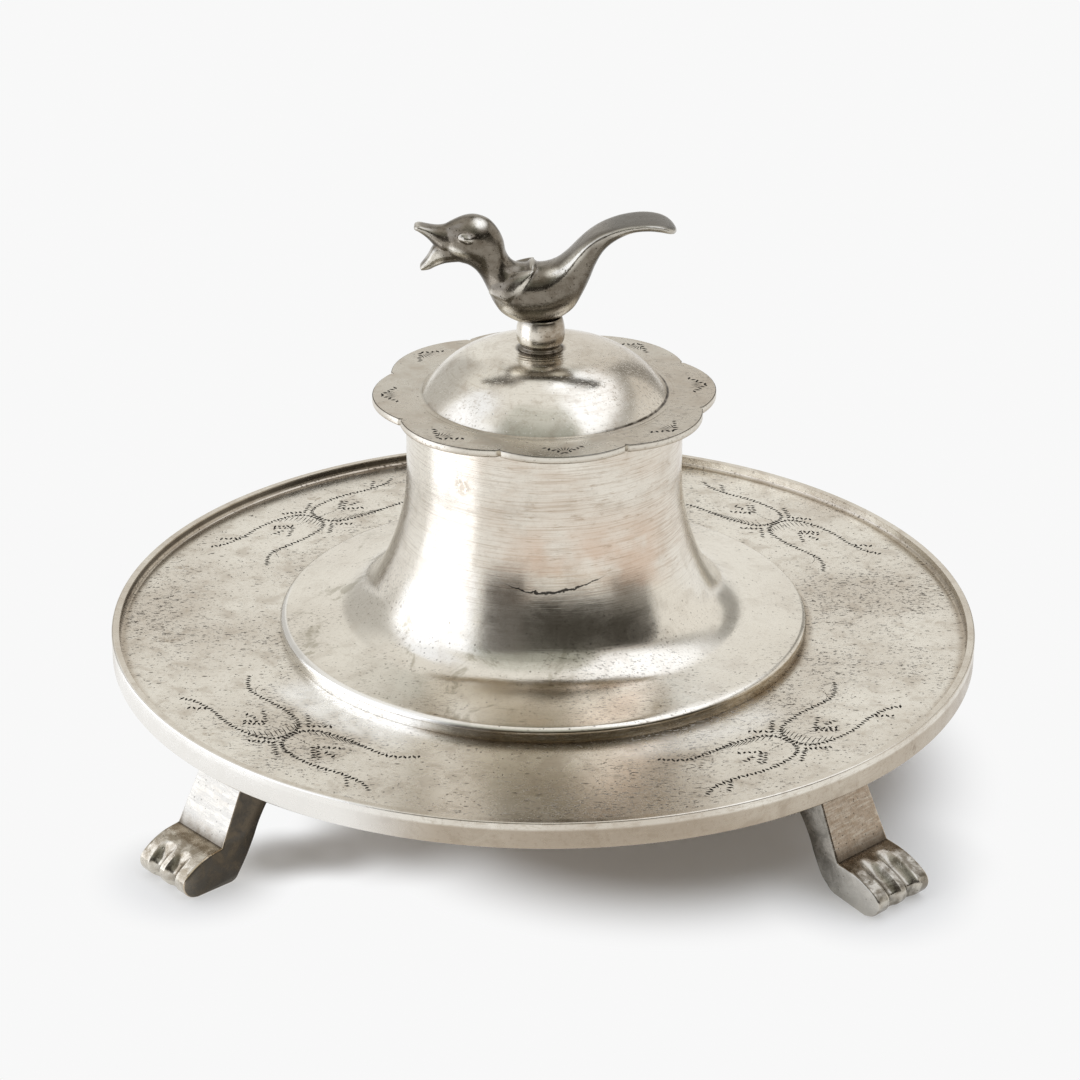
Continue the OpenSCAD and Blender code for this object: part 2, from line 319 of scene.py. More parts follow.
def apply_modifiers(piece):
    """Keeps what a piece's modifiers make of it as its mesh."""
    graph = bpy.context.evaluated_depsgraph_get()
    made = bpy.data.meshes.new_from_object(
        piece.evaluated_get(graph), preserve_all_data_layers=True, depsgraph=graph
    )
    piece.modifiers.clear()
    old, name = piece.data, piece.data.name
    piece.data = made
    bpy.data.meshes.remove(old)
    made.name = name


def bridge(bm, rings, capped=False):
    """Joins each ring of points to the next, and fills the first and the last if capped."""
    for ring, other in zip(rings, rings[1:]):
        if ring[0] is ring[1] and other[0] is other[1]:
            continue
        for i in range(len(ring)):
            k = (i + 1) % len(ring)
            bm.faces.new(dict.fromkeys((ring[i], ring[k], other[k], other[i])))
    if capped:
        for ring in (rings[0], rings[-1]):
            bm.faces.new(ring)


def turned(name, outline, steps=256, start=0.0, centre=0.0):
    """A closed outline of (radius, height) points turned about an upright axis."""
    bm = bmesh.new()
    turns = [start + math.tau * i / steps for i in range(steps)]
    rings = []
    for radius, height in outline:
        if radius < FLAT:
            rings.append([bm.verts.new((centre, 0, height))] * steps)
        else:
            rings.append(
                [
                    bm.verts.new((centre + radius * math.cos(a), radius * math.sin(a), height))
                    for a in turns
                ]
            )
    bridge(bm, rings + rings[:1])
    return new_piece(name, bm)


def lofted(bm, sections, sides):
    """Adds a closed skin over sections (centre, up, down, side, flatness) to bm.

    up and down reach from the centre to the top and the bottom, side to either flank.
    A flatness of 0 is round, and 1 is flat on top with crisp edges.
    """
    rings = []
    for centre, up, down, side, flat in sections:
        ring = []
        for i in range(sides):
            a = math.tau * i / sides
            across, along = math.cos(a), math.sin(a)
            if along > 0:
                along **= 1 - 0.9 * flat
                reach = up * along
            else:
                reach = -down * along
            width = math.copysign(abs(across) ** (1 - 0.45 * flat), across)
            ring.append(bm.verts.new(centre + reach + side * width))
        rings.append(ring)
    bridge(bm, rings, capped=True)


def paired(pairs):
    """Sections for lofted() from (top x, top z, bottom x, bottom z, width, flatness) in mm."""
    sections = []
    for row in spline(pairs, 4):
        top = Vector((row[0], 0, row[1])) * MM
        bottom = Vector((row[2], 0, row[3])) * MM
        flat = min(max(row[5], 0), 1)
        centre = top.lerp(bottom, 0.5 - 0.4 * flat)
        side = Vector((0, row[4] * MM / 2, 0))
        sections.append((centre, top - centre, bottom - centre, side, flat))
    return sections


def add_wear(piece, passes, reach):
    """Stores how far each point stands out (1) or lies in a hollow (0) as wear.

    passes smooth it, and reach is where it is full.
    """
    mesh = piece.data
    bm = bmesh.new()
    bm.from_mesh(mesh)
    values = []
    for v in bm.verts:
        near = [e.other_vert(v).co for e in v.link_edges]
        if not near:
            values.append(0.0)
            continue
        mean = sum(near, Vector()) / len(near)
        size = sum((p - v.co).length for p in near) / len(near)
        values.append((v.co - mean).dot(v.normal) / max(size, FLAT))
    links = [[e.other_vert(v).index for e in v.link_edges] for v in bm.verts]
    bm.free()
    for _ in range(passes):
        values = [
            (values[i] + sum(values[k] for k in near)) / (1 + len(near))
            for i, near in enumerate(links)
        ]
    layer = mesh.attributes.new("wear", "FLOAT", "POINT")
    layer.data.foreach_set("value", [0.5 + 0.5 * max(-1, min(1, v / reach)) for v in values])


def assemble(piece, body, slot, material, *nodes):
    """Gives a finished piece its finish and body, and hides the solids that it stands for; slot is
    not used.
    """
    if material is not None:
        piece.data.materials.clear()
        piece.data.materials.append(material)
    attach(piece, body)
    if nodes:
        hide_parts(*nodes)
    return piece


# ---- Node trees -------------------------------------------------------------------------


class Graph:
    """Short calls that add nodes to a tree and join them."""

    def __init__(self, tree):
        self.tree = tree

    def node(self, kind, inputs=(), **settings):
        made = self.tree.nodes.new(kind)
        for key, value in settings.items():
            setattr(made, key, value)
        for key, value in dict(inputs).items():
            self.feed(made.inputs[key], value)
        return made

    def feed(self, socket, value):
        if isinstance(value, bpy.types.NodeSocket):
            self.tree.links.new(value, socket)
        else:
            socket.default_value = value

    def math(self, operation, *values, clamp=False):
        made = self.node("ShaderNodeMath", enumerate(values), operation=operation)
        made.use_clamp = clamp
        return made.outputs[0]

    def times(self, first, *others):
        """The product of masks or numbers."""
        for other in others:
            first = self.math("MULTIPLY", first, other)
        return first

    def vector(self, operation, *values):
        made = self.node("ShaderNodeVectorMath", enumerate(values), operation=operation)
        return made.outputs["Value" if operation in ("LENGTH", "DOT_PRODUCT") else "Vector"]

    def combine(self, x, y, z):
        return self.node("ShaderNodeCombineXYZ", enumerate((x, y, z))).outputs[0]

    def split(self, vector):
        return self.node("ShaderNodeSeparateXYZ", {0: vector}).outputs[:3]

    def between(self, value, low, high, to_low=0.0, to_high=1.0, smooth=True):
        """value from low..high to to_low..to_high, held at both ends."""
        kind = "SMOOTHSTEP" if smooth else "LINEAR"
        made = self.node(
            "ShaderNodeMapRange",
            enumerate((value, low, high, to_low, to_high)),
            interpolation_type=kind,
        )
        return made.outputs[0]

    def bearing(self, x, y):
        """The way to x, y in degrees from the front towards the right."""
        return self.math("DEGREES", self.math("ARCTAN2", x, self.times(y, -1.0)))

    def window(self, bearing, centre, half, soft):
        """1 inside a window of bearings about centre, in degrees, fading out over soft."""
        off = self.math("SUBTRACT", bearing, centre - 540.0)
        off = self.math("SUBTRACT", self.math("FLOORED_MODULO", off, 360.0), 180.0)
        return self.between(self.math("ABSOLUTE", off), half + soft, half)

    def noise(self, vector, scale, detail, rough=0.5, warp=0.0):
        made = self.node(
            "ShaderNodeTexNoise",
            {
                "Vector": vector,
                "Scale": scale,
                "Detail": detail,
                "Roughness": rough,
                "Distortion": warp,
            },
        )
        return made.outputs["Fac"]

    def mix(self, factor, a, b, blend="MIX"):
        made = self.node("ShaderNodeMix", data_type="RGBA", blend_type=blend)
        made.clamp_factor = True
        for name, value in (("Factor", factor), ("A", a), ("B", b)):
            sockets = [s for s in made.inputs if s.name == name and s.enabled]
            self.feed(sockets[0], value)
        return [s for s in made.outputs if s.enabled][0]


def opaque(rgb):
    return (*rgb, 1.0)


# ---- Finishes ---------------------------------------------------------------------------

# Films, stains and places of wear that are laid over the metal, and painted shade, highlights and
# reflections
SCRATCHED = (0.9, 0.88, 0.84)
RIM_WALL_PAINTED_DARK = (0.07, 0.055, 0.04)
BAND_EDGE_HIGHLIGHT = (0.95, 0.935, 0.9)
TRAY_PAINTED_HIGHLIGHT = (0.97, 0.955, 0.915)
SKIRT_RIM_HIGHLIGHT = (0.97, 0.955, 0.92)
NECK_BROWN = (0.60, 0.49, 0.385)
NECK_COPPER = (0.62, 0.42, 0.29)
NECK_RUBS = (0.38, 0.28, 0.19)
SKIRT_STAINS = (0.3, 0.27, 0.19)
SKIRT_EDGE_FILM_AND_REFLECTION = (0.4, 0.325, 0.225)
DULL_PLATE = (0.6, 0.56, 0.485)
STEM_SIDE_SHADE = (0.27, 0.21, 0.145)
STEM_FOOT = (0.13, 0.105, 0.075)
STEM_HEAD_SHADE = (0.16, 0.135, 0.1)
PAW_BROWN = (0.22, 0.18, 0.125)
PAW_DARK = (0.09, 0.075, 0.055)
LEG_TAN_AND_REFLECTION = (0.33, 0.235, 0.155)
LEG_TOP_SHADE = (0.06, 0.05, 0.035)
LEG_FRONT_DIMMING = (0.49, 0.47, 0.43)
FLANK_REFLECTION = (0.55, 0.53, 0.49)
UNDER_TRAY_SHADE = (0.15, 0.14, 0.12)
FLANK_SHADE_AND_FILM = (0.042, 0.034, 0.025)
BROWN_FLANK = (0.14, 0.11, 0.075)
FLANK_EDGE_RUB_AND_HIGHLIGHT = (0.6, 0.46, 0.3)
BIRD_FILM = (0.1, 0.078, 0.055)
BIRD_PITS_AND_SHADE = (0.03, 0.026, 0.02)
BIRD_TAIL = (0.085, 0.075, 0.058)


class Finish(Graph):
    """A new material and its shader."""

    def __init__(self, name):
        self.material = bpy.data.materials.new(name)
        self.material.use_nodes = True
        super().__init__(self.material.node_tree)
        self.shader = self.tree.nodes["Principled BSDF"]

    def set_shader(self, values):
        for key, value in values.items():
            self.feed(self.shader.inputs[key], value)


class Pewter(Finish):
    """A pewter finish on Object coordinates in millimetres, built up layer by layer."""

    def __init__(self, name, metal, rough, brushed=0.0):
        super().__init__(name)
        self.set_shader({"Metallic": 1.0})
        place = self.node("ShaderNodeTexCoord").outputs["Object"]
        self.at = self.vector("SCALE", place)
        self.at.node.inputs["Scale"].default_value = 1 / MM
        self.x, self.y, self.z = self.split(self.at)
        self.radius = self.vector("LENGTH", self.combine(self.x, self.y, 0.0))
        self.colour = opaque(metal)
        self.rough = rough
        self.height = 0.0
        if brushed:
            across = self.vector("CROSS_PRODUCT", (0.0, 0.0, 1.0), place)
            across = self.vector("NORMALIZE", across)
            self.set_shader({"Anisotropic": brushed, "Tangent": across})

    def tint(self, mask, rgb, amount=1.0, blend="MIX"):
        """Lays a colour where mask is 1, as strongly as amount says."""
        if amount != 1.0:
            mask = self.times(mask, amount)
        self.colour = self.mix(mask, self.colour, opaque(rgb), blend)

    def at_height(self, *limits):
        """Like between(), with heights above the desk in mm."""
        return self.between(self.z, *limits)

    def at_radius(self, *limits):
        """Like between(), with distances from the axis in mm."""
        return self.between(self.radius, *limits)

    def add_rough(self, mask, amount):
        self.rough = self.math("MULTIPLY_ADD", mask, amount, self.rough)

    def raise_by(self, mask, amount):
        """amount in millimetres, negative for a hollow."""
        self.height = self.math("MULTIPLY_ADD", mask, amount, self.height)

    def attribute(self, name):
        return self.node("ShaderNodeAttribute", attribute_name=name).outputs["Fac"]

    def grain(self, scale, detail, rough=0.5, warp=0.0, squeeze=None):
        """Noise with scale features to the mm, packed closer along x, y and z by squeeze."""
        place = self.vector("MULTIPLY", self.at, squeeze) if squeeze else self.at
        return self.noise(place, scale, detail, rough, warp)

    def ring_lines(self, fine, around):
        """Noise drawn out round the axis, as a turning tool or a cloth leaves it."""
        safe = self.math("MAXIMUM", self.radius, 1.0)
        run = self.math("SUBTRACT", self.radius, self.z)
        place = self.combine(
            self.times(self.math("DIVIDE", self.x, safe), around),
            self.times(self.math("DIVIDE", self.y, safe), around),
            self.times(run, fine),
        )
        return self.noise(place, 1.0, 3.0, 0.6)

    def pits(self, size, share_of, spread=(1.0, 1.0, 1.0), seed=0.0):
        """Small round or drawn-out pits, one at most in each cell of about size mm."""
        place = self.vector("MULTIPLY", self.at, spread)
        place = self.vector("ADD", place, (seed, seed * 1.7, seed * 0.6))
        cells = self.node(
            "ShaderNodeTexVoronoi", {"Vector": place, "Scale": 1 / size}, feature="F1"
        )
        chance = self.split(cells.outputs["Color"])[0]
        reach = self.between(chance, share_of, 0.0, 0.0, 0.34, smooth=False)
        ratio = self.math("DIVIDE", cells.outputs["Distance"], self.math("MAXIMUM", reach, 1e-3))
        return self.between(ratio, 1.0, 0.45)

    def off_line(self, value, middle):
        """How far value is from middle, either way."""
        return self.math("ABSOLUTE", self.math("SUBTRACT", value, middle))

    def facing(self, centre, half, soft):
        """1 on the side that faces a bearing about the axis, in degrees from the front."""
        return self.window(self.bearing(self.x, self.y), centre, half, soft)

    def scratches(self, turn, seed):
        """Thin straight lines that run one way."""
        mapping = self.node(
            "ShaderNodeMapping",
            {
                "Vector": self.at,
                "Location": (seed, seed * 2.3, 0.0),
                "Rotation": (0.0, 0.0, math.radians(turn)),
                "Scale": (0.035, 2.6, 0.6),
            },
        )
        return self.between(self.noise(mapping.outputs[0], 1.0, 1.0), 0.73, 0.80)

    def finish(self):
        bump = self.node(
            "ShaderNodeBump", {"Height": self.height, "Distance": MM, "Strength": 1.0}
        )
        self.set_shader(
            {"Base Color": self.colour, "Roughness": self.rough, "Normal": bump.outputs[0]}
        )
        return self.material


def settings():
    return bpy.context.scene.inkstand


def aged(finish, look, film=0.35, dirt=0.6, flecks=1.0, where=1.0, sunk=0.02):
    """The layers that all the turned and sheet pewter shares: a film, smudges, streaks and
    dots of dirt, which lie sunk mm deep."""
    broad = finish.grain(0.03, 3.0, 0.55)
    middle = finish.grain(0.17, 4.0, 0.62, 0.4)
    fine = finish.grain(1.0, 3.0, 0.6)
    finish.tint(finish.between(broad, 0.38, 0.68), look.tarnish_and_shade, film)
    finish.tint(finish.between(middle, 0.47, 0.72), look.tarnish_and_shade, film)
    finish.tint(finish.between(fine, 0.5, 0.74), look.tarnish_and_shade, film * 0.8)
    crowd = finish.between(finish.grain(0.028, 2.0), 0.36, 0.66, -0.05, 0.05)
    streaks = finish.grain(1.1, 3.0, 0.7, squeeze=(0.8, 2.0, 1.6))
    streaks = finish.between(finish.math("ADD", streaks, crowd), 0.60, 0.67)
    dots = finish.pits(0.95, 0.4 * flecks)
    smudges = finish.pits(11.0, 0.2 * flecks, (0.8, 1.9, 1.0), seed=3.7)
    ragged = finish.times(smudges, finish.between(fine, 0.4, 0.56))
    finish.tint(ragged, look.tarnish_and_shade, 0.55, "MULTIPLY")
    streaks = finish.times(streaks, where)
    dots = finish.times(dots, where)
    finish.tint(streaks, look.pit, dirt * flecks)
    finish.tint(dots, look.pit, dirt)
    if sunk:
        spots = finish.math("MAXIMUM", streaks, dots)
        finish.add_rough(spots, 0.15)
        finish.raise_by(spots, -sunk)
    finish.raise_by(middle, 0.03)
    finish.add_rough(finish.between(middle, 0.3, 0.7, -0.04, 0.06), 1.0)


def tooled(finish, fine, around, deep, rough):
    """Turning lines, deep in mm, that also roughen the metal."""
    lines = finish.ring_lines(fine, around)
    finish.raise_by(lines, deep)
    finish.add_rough(lines, rough)


def tray_pewter():
    look = settings().pewter
    finish = Pewter("tray_pewter", look.metal, 0.2)
    inside = finish.at_radius(TRAY_R_MM - 1.4, TRAY_R_MM - 2.0)
    aged(finish, look, film=0.48, dirt=0.85, flecks=1.15, where=inside)
    specks = finish.times(finish.pits(1.5, 0.42, (0.6, 1.3, 1.0), seed=8.1), inside)
    finish.tint(specks, look.pit, 0.8)
    tooled(finish, 1.6, 5.0, 0.004, 0.1)
    for turn, seed in ((12, 1.0), (-38, 5.0), (64, 9.0)):
        finish.tint(finish.scratches(turn, seed), SCRATCHED, 0.35)

    # the floor: duller in front, dirty in the corner under the rim, and with a painted shadow
    # along the well's foot
    front = finish.times(finish.facing(4, 16, 16), finish.at_height(28.9, 28.4))
    finish.tint(front, look.tarnish_and_shade, 0.22)
    corner = finish.at_radius(TRAY_R_MM - 4.4, TRAY_R_MM - 2.4)
    corner = finish.times(corner, finish.at_height(29.2, 28.5))
    finish.tint(corner, look.tarnish_and_shade, 0.6, "MULTIPLY")
    # painted shadow on the tray just outside the well's skirt, all round but the front left
    foot = finish.at_radius(BASE_R_MM + 2.2, BASE_R_MM + 0.2)
    foot = finish.times(foot, finish.facing(60, 95, 20))
    finish.tint(foot, look.tarnish_and_shade, 0.7, "MULTIPLY")

    # the rim: its inner wall at the back left painted very dark for a dark reflection, and a light
    # film on top
    wall = finish.at_radius(TRAY_R_MM - 2.5, TRAY_R_MM - 2.0)
    wall = finish.times(wall, finish.at_height(28.6, 29.2))
    wall = finish.times(wall, finish.at_height(RIM_Z_MM - 0.1, RIM_Z_MM - 0.5))
    finish.tint(finish.times(wall, finish.facing(-130, 36, 10)), RIM_WALL_PAINTED_DARK, 0.85)
    rim = finish.at_height(RIM_Z_MM - 0.5, RIM_Z_MM - 0.1)
    finish.tint(rim, look.tarnish_and_shade, 0.25)

    # the edge band: rubbed and browner low down, and a painted highlight along its edge at the
    # front left
    band_highlight = finish.facing(-48, 22, 14)
    band = finish.at_radius(TRAY_R_MM - 0.3, TRAY_R_MM - 0.1)
    band = finish.times(band, finish.math("SUBTRACT", 1.0, band_highlight))
    rubbed = finish.grain(0.6, 4.0, 0.7, squeeze=(0.5, 0.5, 2.2))
    finish.tint(finish.times(band, finish.between(rubbed, 0.5, 0.66)), look.tarnish_and_shade, 0.45)
    lower = finish.at_height(BAND_Z_MM + 1.5, BAND_Z_MM)
    finish.tint(finish.times(band, lower), look.tarnish_and_shade, 0.45)
    edge = finish.at_radius(TRAY_R_MM - 0.7, TRAY_R_MM - 0.2)
    finish.tint(finish.times(edge, band_highlight), BAND_EDGE_HIGHLIGHT, 0.85)

    # painted highlights beside the well at the front left and right, and the film under the tray
    zone = finish.at_radius(BASE_R_MM + 12, BASE_R_MM + 7)
    ragged = finish.between(finish.grain(0.12, 4.0, 0.6), 0.3, 0.55, 0.45, 1.0)
    zone = finish.times(zone, ragged)
    for centre, amount in ((-42, 0.9), (31, 0.6)):
        finish.tint(finish.times(zone, finish.facing(centre, 12, 9)), TRAY_PAINTED_HIGHLIGHT, amount)
    under = finish.at_height(UNDER_Z_MM + 0.5, UNDER_Z_MM)
    inner = finish.at_radius(TRAY_R_MM - 0.4, TRAY_R_MM - 1.2)
    finish.tint(finish.times(under, inner), look.tarnish_and_shade, 0.6)
    return finish.finish()


def gouge(finish):
    """One long curved scratch low on the front of the neck, dark along its middle."""
    across = finish.math("SUBTRACT", finish.x, 2.6)
    sag = finish.times(across, across, 0.016)
    line = finish.math("SUBTRACT", finish.math("SUBTRACT", finish.z, sag), 51.0)
    line = finish.math("MULTIPLY_ADD", across, -0.07, line)
    shake = finish.between(finish.grain(0.7, 3.0, 0.6), 0.2, 0.8, -0.5, 0.5, smooth=False)
    off = finish.math("ABSOLUTE", finish.math("ADD", line, shake))
    along = finish.math("ABSOLUTE", across)
    width = finish.between(along, 11.0, 1.5, 0.1, 0.38, smooth=False)
    near = finish.between(finish.math("DIVIDE", off, width), 1.0, 0.55)
    ends = finish.between(along, 11.5, 9.0)
    front = finish.between(finish.y, -20.0, -22.0)
    return finish.times(near, ends, front)


def well_pewter():
    look = settings().pewter
    finish = Pewter("well_pewter", look.metal, 0.13, 0.3)
    skirt = finish.at_height(50.0, 38.0, 0.25, 1.0)
    aged(finish, look, film=0.22, dirt=0.6, flecks=0.85, where=skirt, sunk=0.0)
    fine_lines = finish.ring_lines(3.4, 2.6)
    tooled(finish, 2.2, 4.0, 0.008, 0.1)
    finish.raise_by(fine_lines, 0.004)

    # the neck: a brushed brown film on the right, copper low down, and rubs drawn round it
    neck = finish.at_height(44, 56)
    patchy = finish.grain(0.09, 4.0, 0.6, squeeze=(1.0, 1.0, 1.5))
    brown = finish.times(finish.facing(28, 46, 22), neck)
    brown = finish.times(brown, finish.between(patchy, 0.35, 0.62, 0.25, 1.0))
    brushed = finish.between(fine_lines, 0.35, 0.65, 0.3, 1.0)
    finish.tint(finish.times(brown, brushed), NECK_BROWN, 0.7)
    drawn = finish.times(finish.between(fine_lines, 0.54, 0.64), 0.36)
    high = finish.at_height(40, 56, 0.2, 1.0)
    finish.tint(finish.times(drawn, high), look.tarnish_and_shade)
    copper = finish.grain(0.07, 3.0, 0.55, squeeze=(1.0, 1.0, 1.4))
    copper = finish.times(finish.between(copper, 0.34, 0.6), finish.facing(20, 20, 22))
    low = finish.at_height(47.0, 51.0)
    low = finish.times(low, finish.at_height(70.0, 58.0))
    finish.tint(finish.times(copper, low), NECK_COPPER, 0.55)
    rubs = finish.grain(0.9, 4.0, 0.7, squeeze=(0.25, 0.25, 1.6))
    rubs = finish.times(finish.between(rubs, 0.56, 0.68), neck, finish.facing(32, 42, 18))
    finish.tint(rubs, NECK_RUBS, 0.5)

    # stains on the skirt's left, the gouge, and a mottled painted shadow on the neck under the
    # lid at the right
    stains = finish.grain(0.085, 5.0, 0.68, 0.6)
    stains = finish.between(stains, 0.57, 0.66)
    stains = finish.times(stains, finish.at_height(44.0, 38.0), finish.facing(-60, 60, 25))
    finish.tint(stains, SKIRT_STAINS, 0.5)
    finish.tint(gouge(finish), look.cut, 0.92)
    lid_shadow = finish.times(finish.at_height(78, 83), finish.facing(42, 18, 12))
    shadow_mottle = finish.between(finish.grain(0.35, 4.0, 0.65), 0.42, 0.6)
    finish.tint(finish.times(lid_shadow, shadow_mottle), look.tarnish_and_shade, 0.7)

    # the skirt's edge: brown at the right, partly film and partly a painted reflection of the tray
    # floor, and a painted highlight at the left
    edge = finish.at_radius(BASE_R_MM - 0.34, BASE_R_MM - 0.2)
    streaky = finish.grain(1.0, 3.0, 0.6, squeeze=(0.35, 0.35, 3.0))
    streaky = finish.between(streaky, 0.3, 0.6, 0.6, 1)
    film = finish.times(finish.facing(38, 58, 16), streaky)
    finish.tint(finish.times(edge, film), SKIRT_EDGE_FILM_AND_REFLECTION)
    rim = finish.at_radius(BASE_R_MM - 1.7, BASE_R_MM - 1.2)
    finish.tint(finish.times(rim, finish.facing(-56, 34, 14)), SKIRT_RIM_HIGHLIGHT, 0.85)
    return finish.finish()


def lid_pewter():
    """The lid's dome and ring, with turning rings and a dirty seam round the stem."""
    look = settings().pewter
    finish = Pewter("lid_pewter", look.metal, 0.14, 0.25)
    aged(finish, look, film=0.42, dirt=0.35, flecks=0.35)
    tooled(finish, 2.6, 3.0, 0.005, 0.08)
    across = finish.math("SUBTRACT", finish.x, STEM_X_MM)
    off = finish.vector("LENGTH", finish.combine(across, finish.y, 0.0))
    rings = finish.math("SINE", finish.times(off, 5.2))
    finish.raise_by(finish.times(rings, finish.between(off, 11.0, 7.0)), 0.03)
    finish.tint(finish.between(off, 6.0, 5.3), look.pit, 0.75)
    finish.tint(seam_dirt(finish), look.pit)
    smoked = finish.times(finish.facing(112, 52, 30), finish.at_height(87.0, 90.5))
    finish.tint(smoked, look.tarnish_and_shade, 0.3)
    brushed = finish.grain(1.0, 3.0, 0.65, squeeze=(0.12, 0.12, 2.4))
    brushed = finish.between(brushed, 0.5, 0.66)
    brushed = finish.times(brushed, finish.at_height(86.5, 90.0))
    finish.tint(brushed, look.tarnish_and_shade, 0.26)
    return finish.finish()


def seam_dirt(finish):
    """Dirt in the seam where the dome meets its plate, worst at the right."""
    ring = finish.between(finish.off_line(finish.radius, DOME_R_MM + 0.05), 0.4, 0.12)
    ring = finish.times(ring, finish.at_height(86.4, 85.9))
    dirt = finish.between(finish.grain(0.5, 3.0), 0.35, 0.65, 0.55, 1.0)
    dirt = finish.times(dirt, finish.math("ADD", finish.facing(72, 34, 18), 0.2))
    return finish.times(ring, dirt)


def plate_pewter():
    """The lid's scalloped plate: the same metal, duller and with more film."""
    look = settings().pewter
    finish = Pewter("plate_pewter", DULL_PLATE, 0.24, 0.25)
    aged(finish, look, film=0.5, dirt=0.55, flecks=0.5)
    tooled(finish, 2.6, 3.0, 0.005, 0.08)
    face = finish.at_height(LID_TOP_Z_MM - 0.35, LID_TOP_Z_MM - 0.1, 0.6, 0.0)
    finish.tint(face, look.metal)
    # browner towards the underside: painted shade under the plate
    low = finish.at_height(plate_low.z / MM + 1.0, plate_low.z / MM + 0.2)
    finish.tint(low, look.tarnish_and_shade, 0.55)
    finish.tint(seam_dirt(finish), look.pit)
    for out, deep in ((1.3, -0.06), (2.1, -0.03)):
        line = finish.off_line(finish.radius, DOME_R_MM + out)
        finish.raise_by(finish.between(line, 0.35, 0.0), deep)
    return finish.finish()


def seat_pewter():
    look = settings().pewter
    finish = Pewter("seat_pewter", look.metal, 0.4)
    aged(finish, look)
    return finish.finish()


def stem_pewter():
    """The turned stem: darker at its foot, with painted shade down its right side and at its
    head under the bird.
    """
    look = settings().pewter
    finish = Pewter("stem_pewter", look.metal, 0.2)
    aged(finish, look, film=0.4)
    # painted shade down the stem's right side
    across = finish.math("SUBTRACT", finish.x, STEM_X_MM)
    side_shade = finish.grain(0.5, 4.0, 0.65, squeeze=(1.0, 1.0, 2.2))
    side_shade = finish.between(side_shade, 0.32, 0.6, 0.6, 1.0)
    finish.tint(finish.times(finish.between(across, -1.6, 1.4), side_shade), STEM_SIDE_SHADE, 0.85)
    foot = finish.at_height(stem_low.z / MM + 2.2, stem_low.z / MM + 0.8)
    finish.tint(foot, STEM_FOOT, 0.85)
    # painted shade at the stem's head, under the bird
    head = finish.at_height(stem_high.z / MM - 1.6, stem_high.z / MM - 0.2)
    finish.tint(head, STEM_HEAD_SHADE, 0.6)
    return finish.finish()


def cut_pewter():
    look = settings().pewter
    finish = Pewter("cut_pewter", look.cut, 0.55)
    finish.tint(finish.between(finish.grain(2.0, 3.0), 0.5, 0.75), look.tarnish_and_shade, 0.2)
    return finish.finish()


# Patches of bright metal on both sides of the bird, placed where highlights fall: partly metal that
# handling has rubbed, partly painted highlight. Each is middle x, y, z, the half length of the
# patch along its run and across it, and how far that run climbs, in mm and degrees
RUBBED_AND_HIGHLIT = [
    (6.6, 5.2, 118.0, 5.2, 1.3, 48),
    (-6.6, 3.6, 105.2, 4.5, 2.0, -55),
    (-4.4, 5.4, 112.6, 2.6, 1.3, 45),
    (-13.4, 3.0, 126.0, 1.8, 1.1, 0),
    (-23.4, 2.0, 117.4, 2.2, 1.6, 50),
    (23.0, 4.9, 124.2, 6.5, 0.5, 0),
    (3.0, 4.6, 115.2, 2.0, 0.9, 10),
    (-18.0, 4.0, 119.6, 2.4, 0.9, -20),
    (5.5, 4.4, 106.4, 3.5, 1.4, 40),
]


def rubbed_and_highlit_places(finish, fine):
    """1 in the patches of RUBBED_AND_HIGHLIT, ragged like fine."""
    mirrored = finish.combine(finish.x, finish.math("ABSOLUTE", finish.y), finish.z)
    bright = 0.0
    for x, y, z, along, across, climb in RUBBED_AND_HIGHLIT:
        off = finish.vector("SUBTRACT", mirrored, (x + STEM_X_MM, y, z))
        level = finish.node(
            "ShaderNodeVectorRotate",
            {"Vector": off, "Angle": math.radians(climb)},
            rotation_type="Y_AXIS",
        )
        reach = (1 / along, 0.6 / across, 1 / across)
        flat = finish.vector("MULTIPLY", level.outputs[0], reach)
        patch = finish.between(finish.vector("LENGTH", flat), 1.5, 0.35)
        bright = finish.math("MAXIMUM", bright, patch)
    return finish.times(bright, finish.between(fine, 0.35, 0.55, 0.6, 1.0))


def cast_film(finish, film):
    """The film that all castings share, and its three grains from fine to broad."""
    fine = finish.grain(2.2, 3.0, 0.6)
    middle = finish.grain(0.45, 4.0, 0.6)
    mottle = finish.grain(0.24, 5.0, 0.7, 0.5)
    finish.tint(finish.between(middle, 0.42, 0.7), film, 0.4)
    finish.tint(finish.between(mottle, 0.5, 0.64), film, 0.45)
    return fine, middle, mottle


def cast_dirt(finish, look, wear, hollow, fine, middle):
    """The dirt in a casting's hollows, its rubbed edges and its pits, over all other film."""
    finish.tint(hollow, look.pit, 0.85)
    finish.tint(finish.between(wear, 0.56, 0.8), look.metal, 0.5)
    spots = finish.pits(0.9, 0.42)
    finish.tint(spots, look.pit, 0.45)
    finish.raise_by(spots, -0.03)
    finish.raise_by(middle, 0.05)
    finish.raise_by(fine, 0.004)
    finish.add_rough(finish.between(fine, 0.3, 0.7, -0.05, 0.08), 1.0)


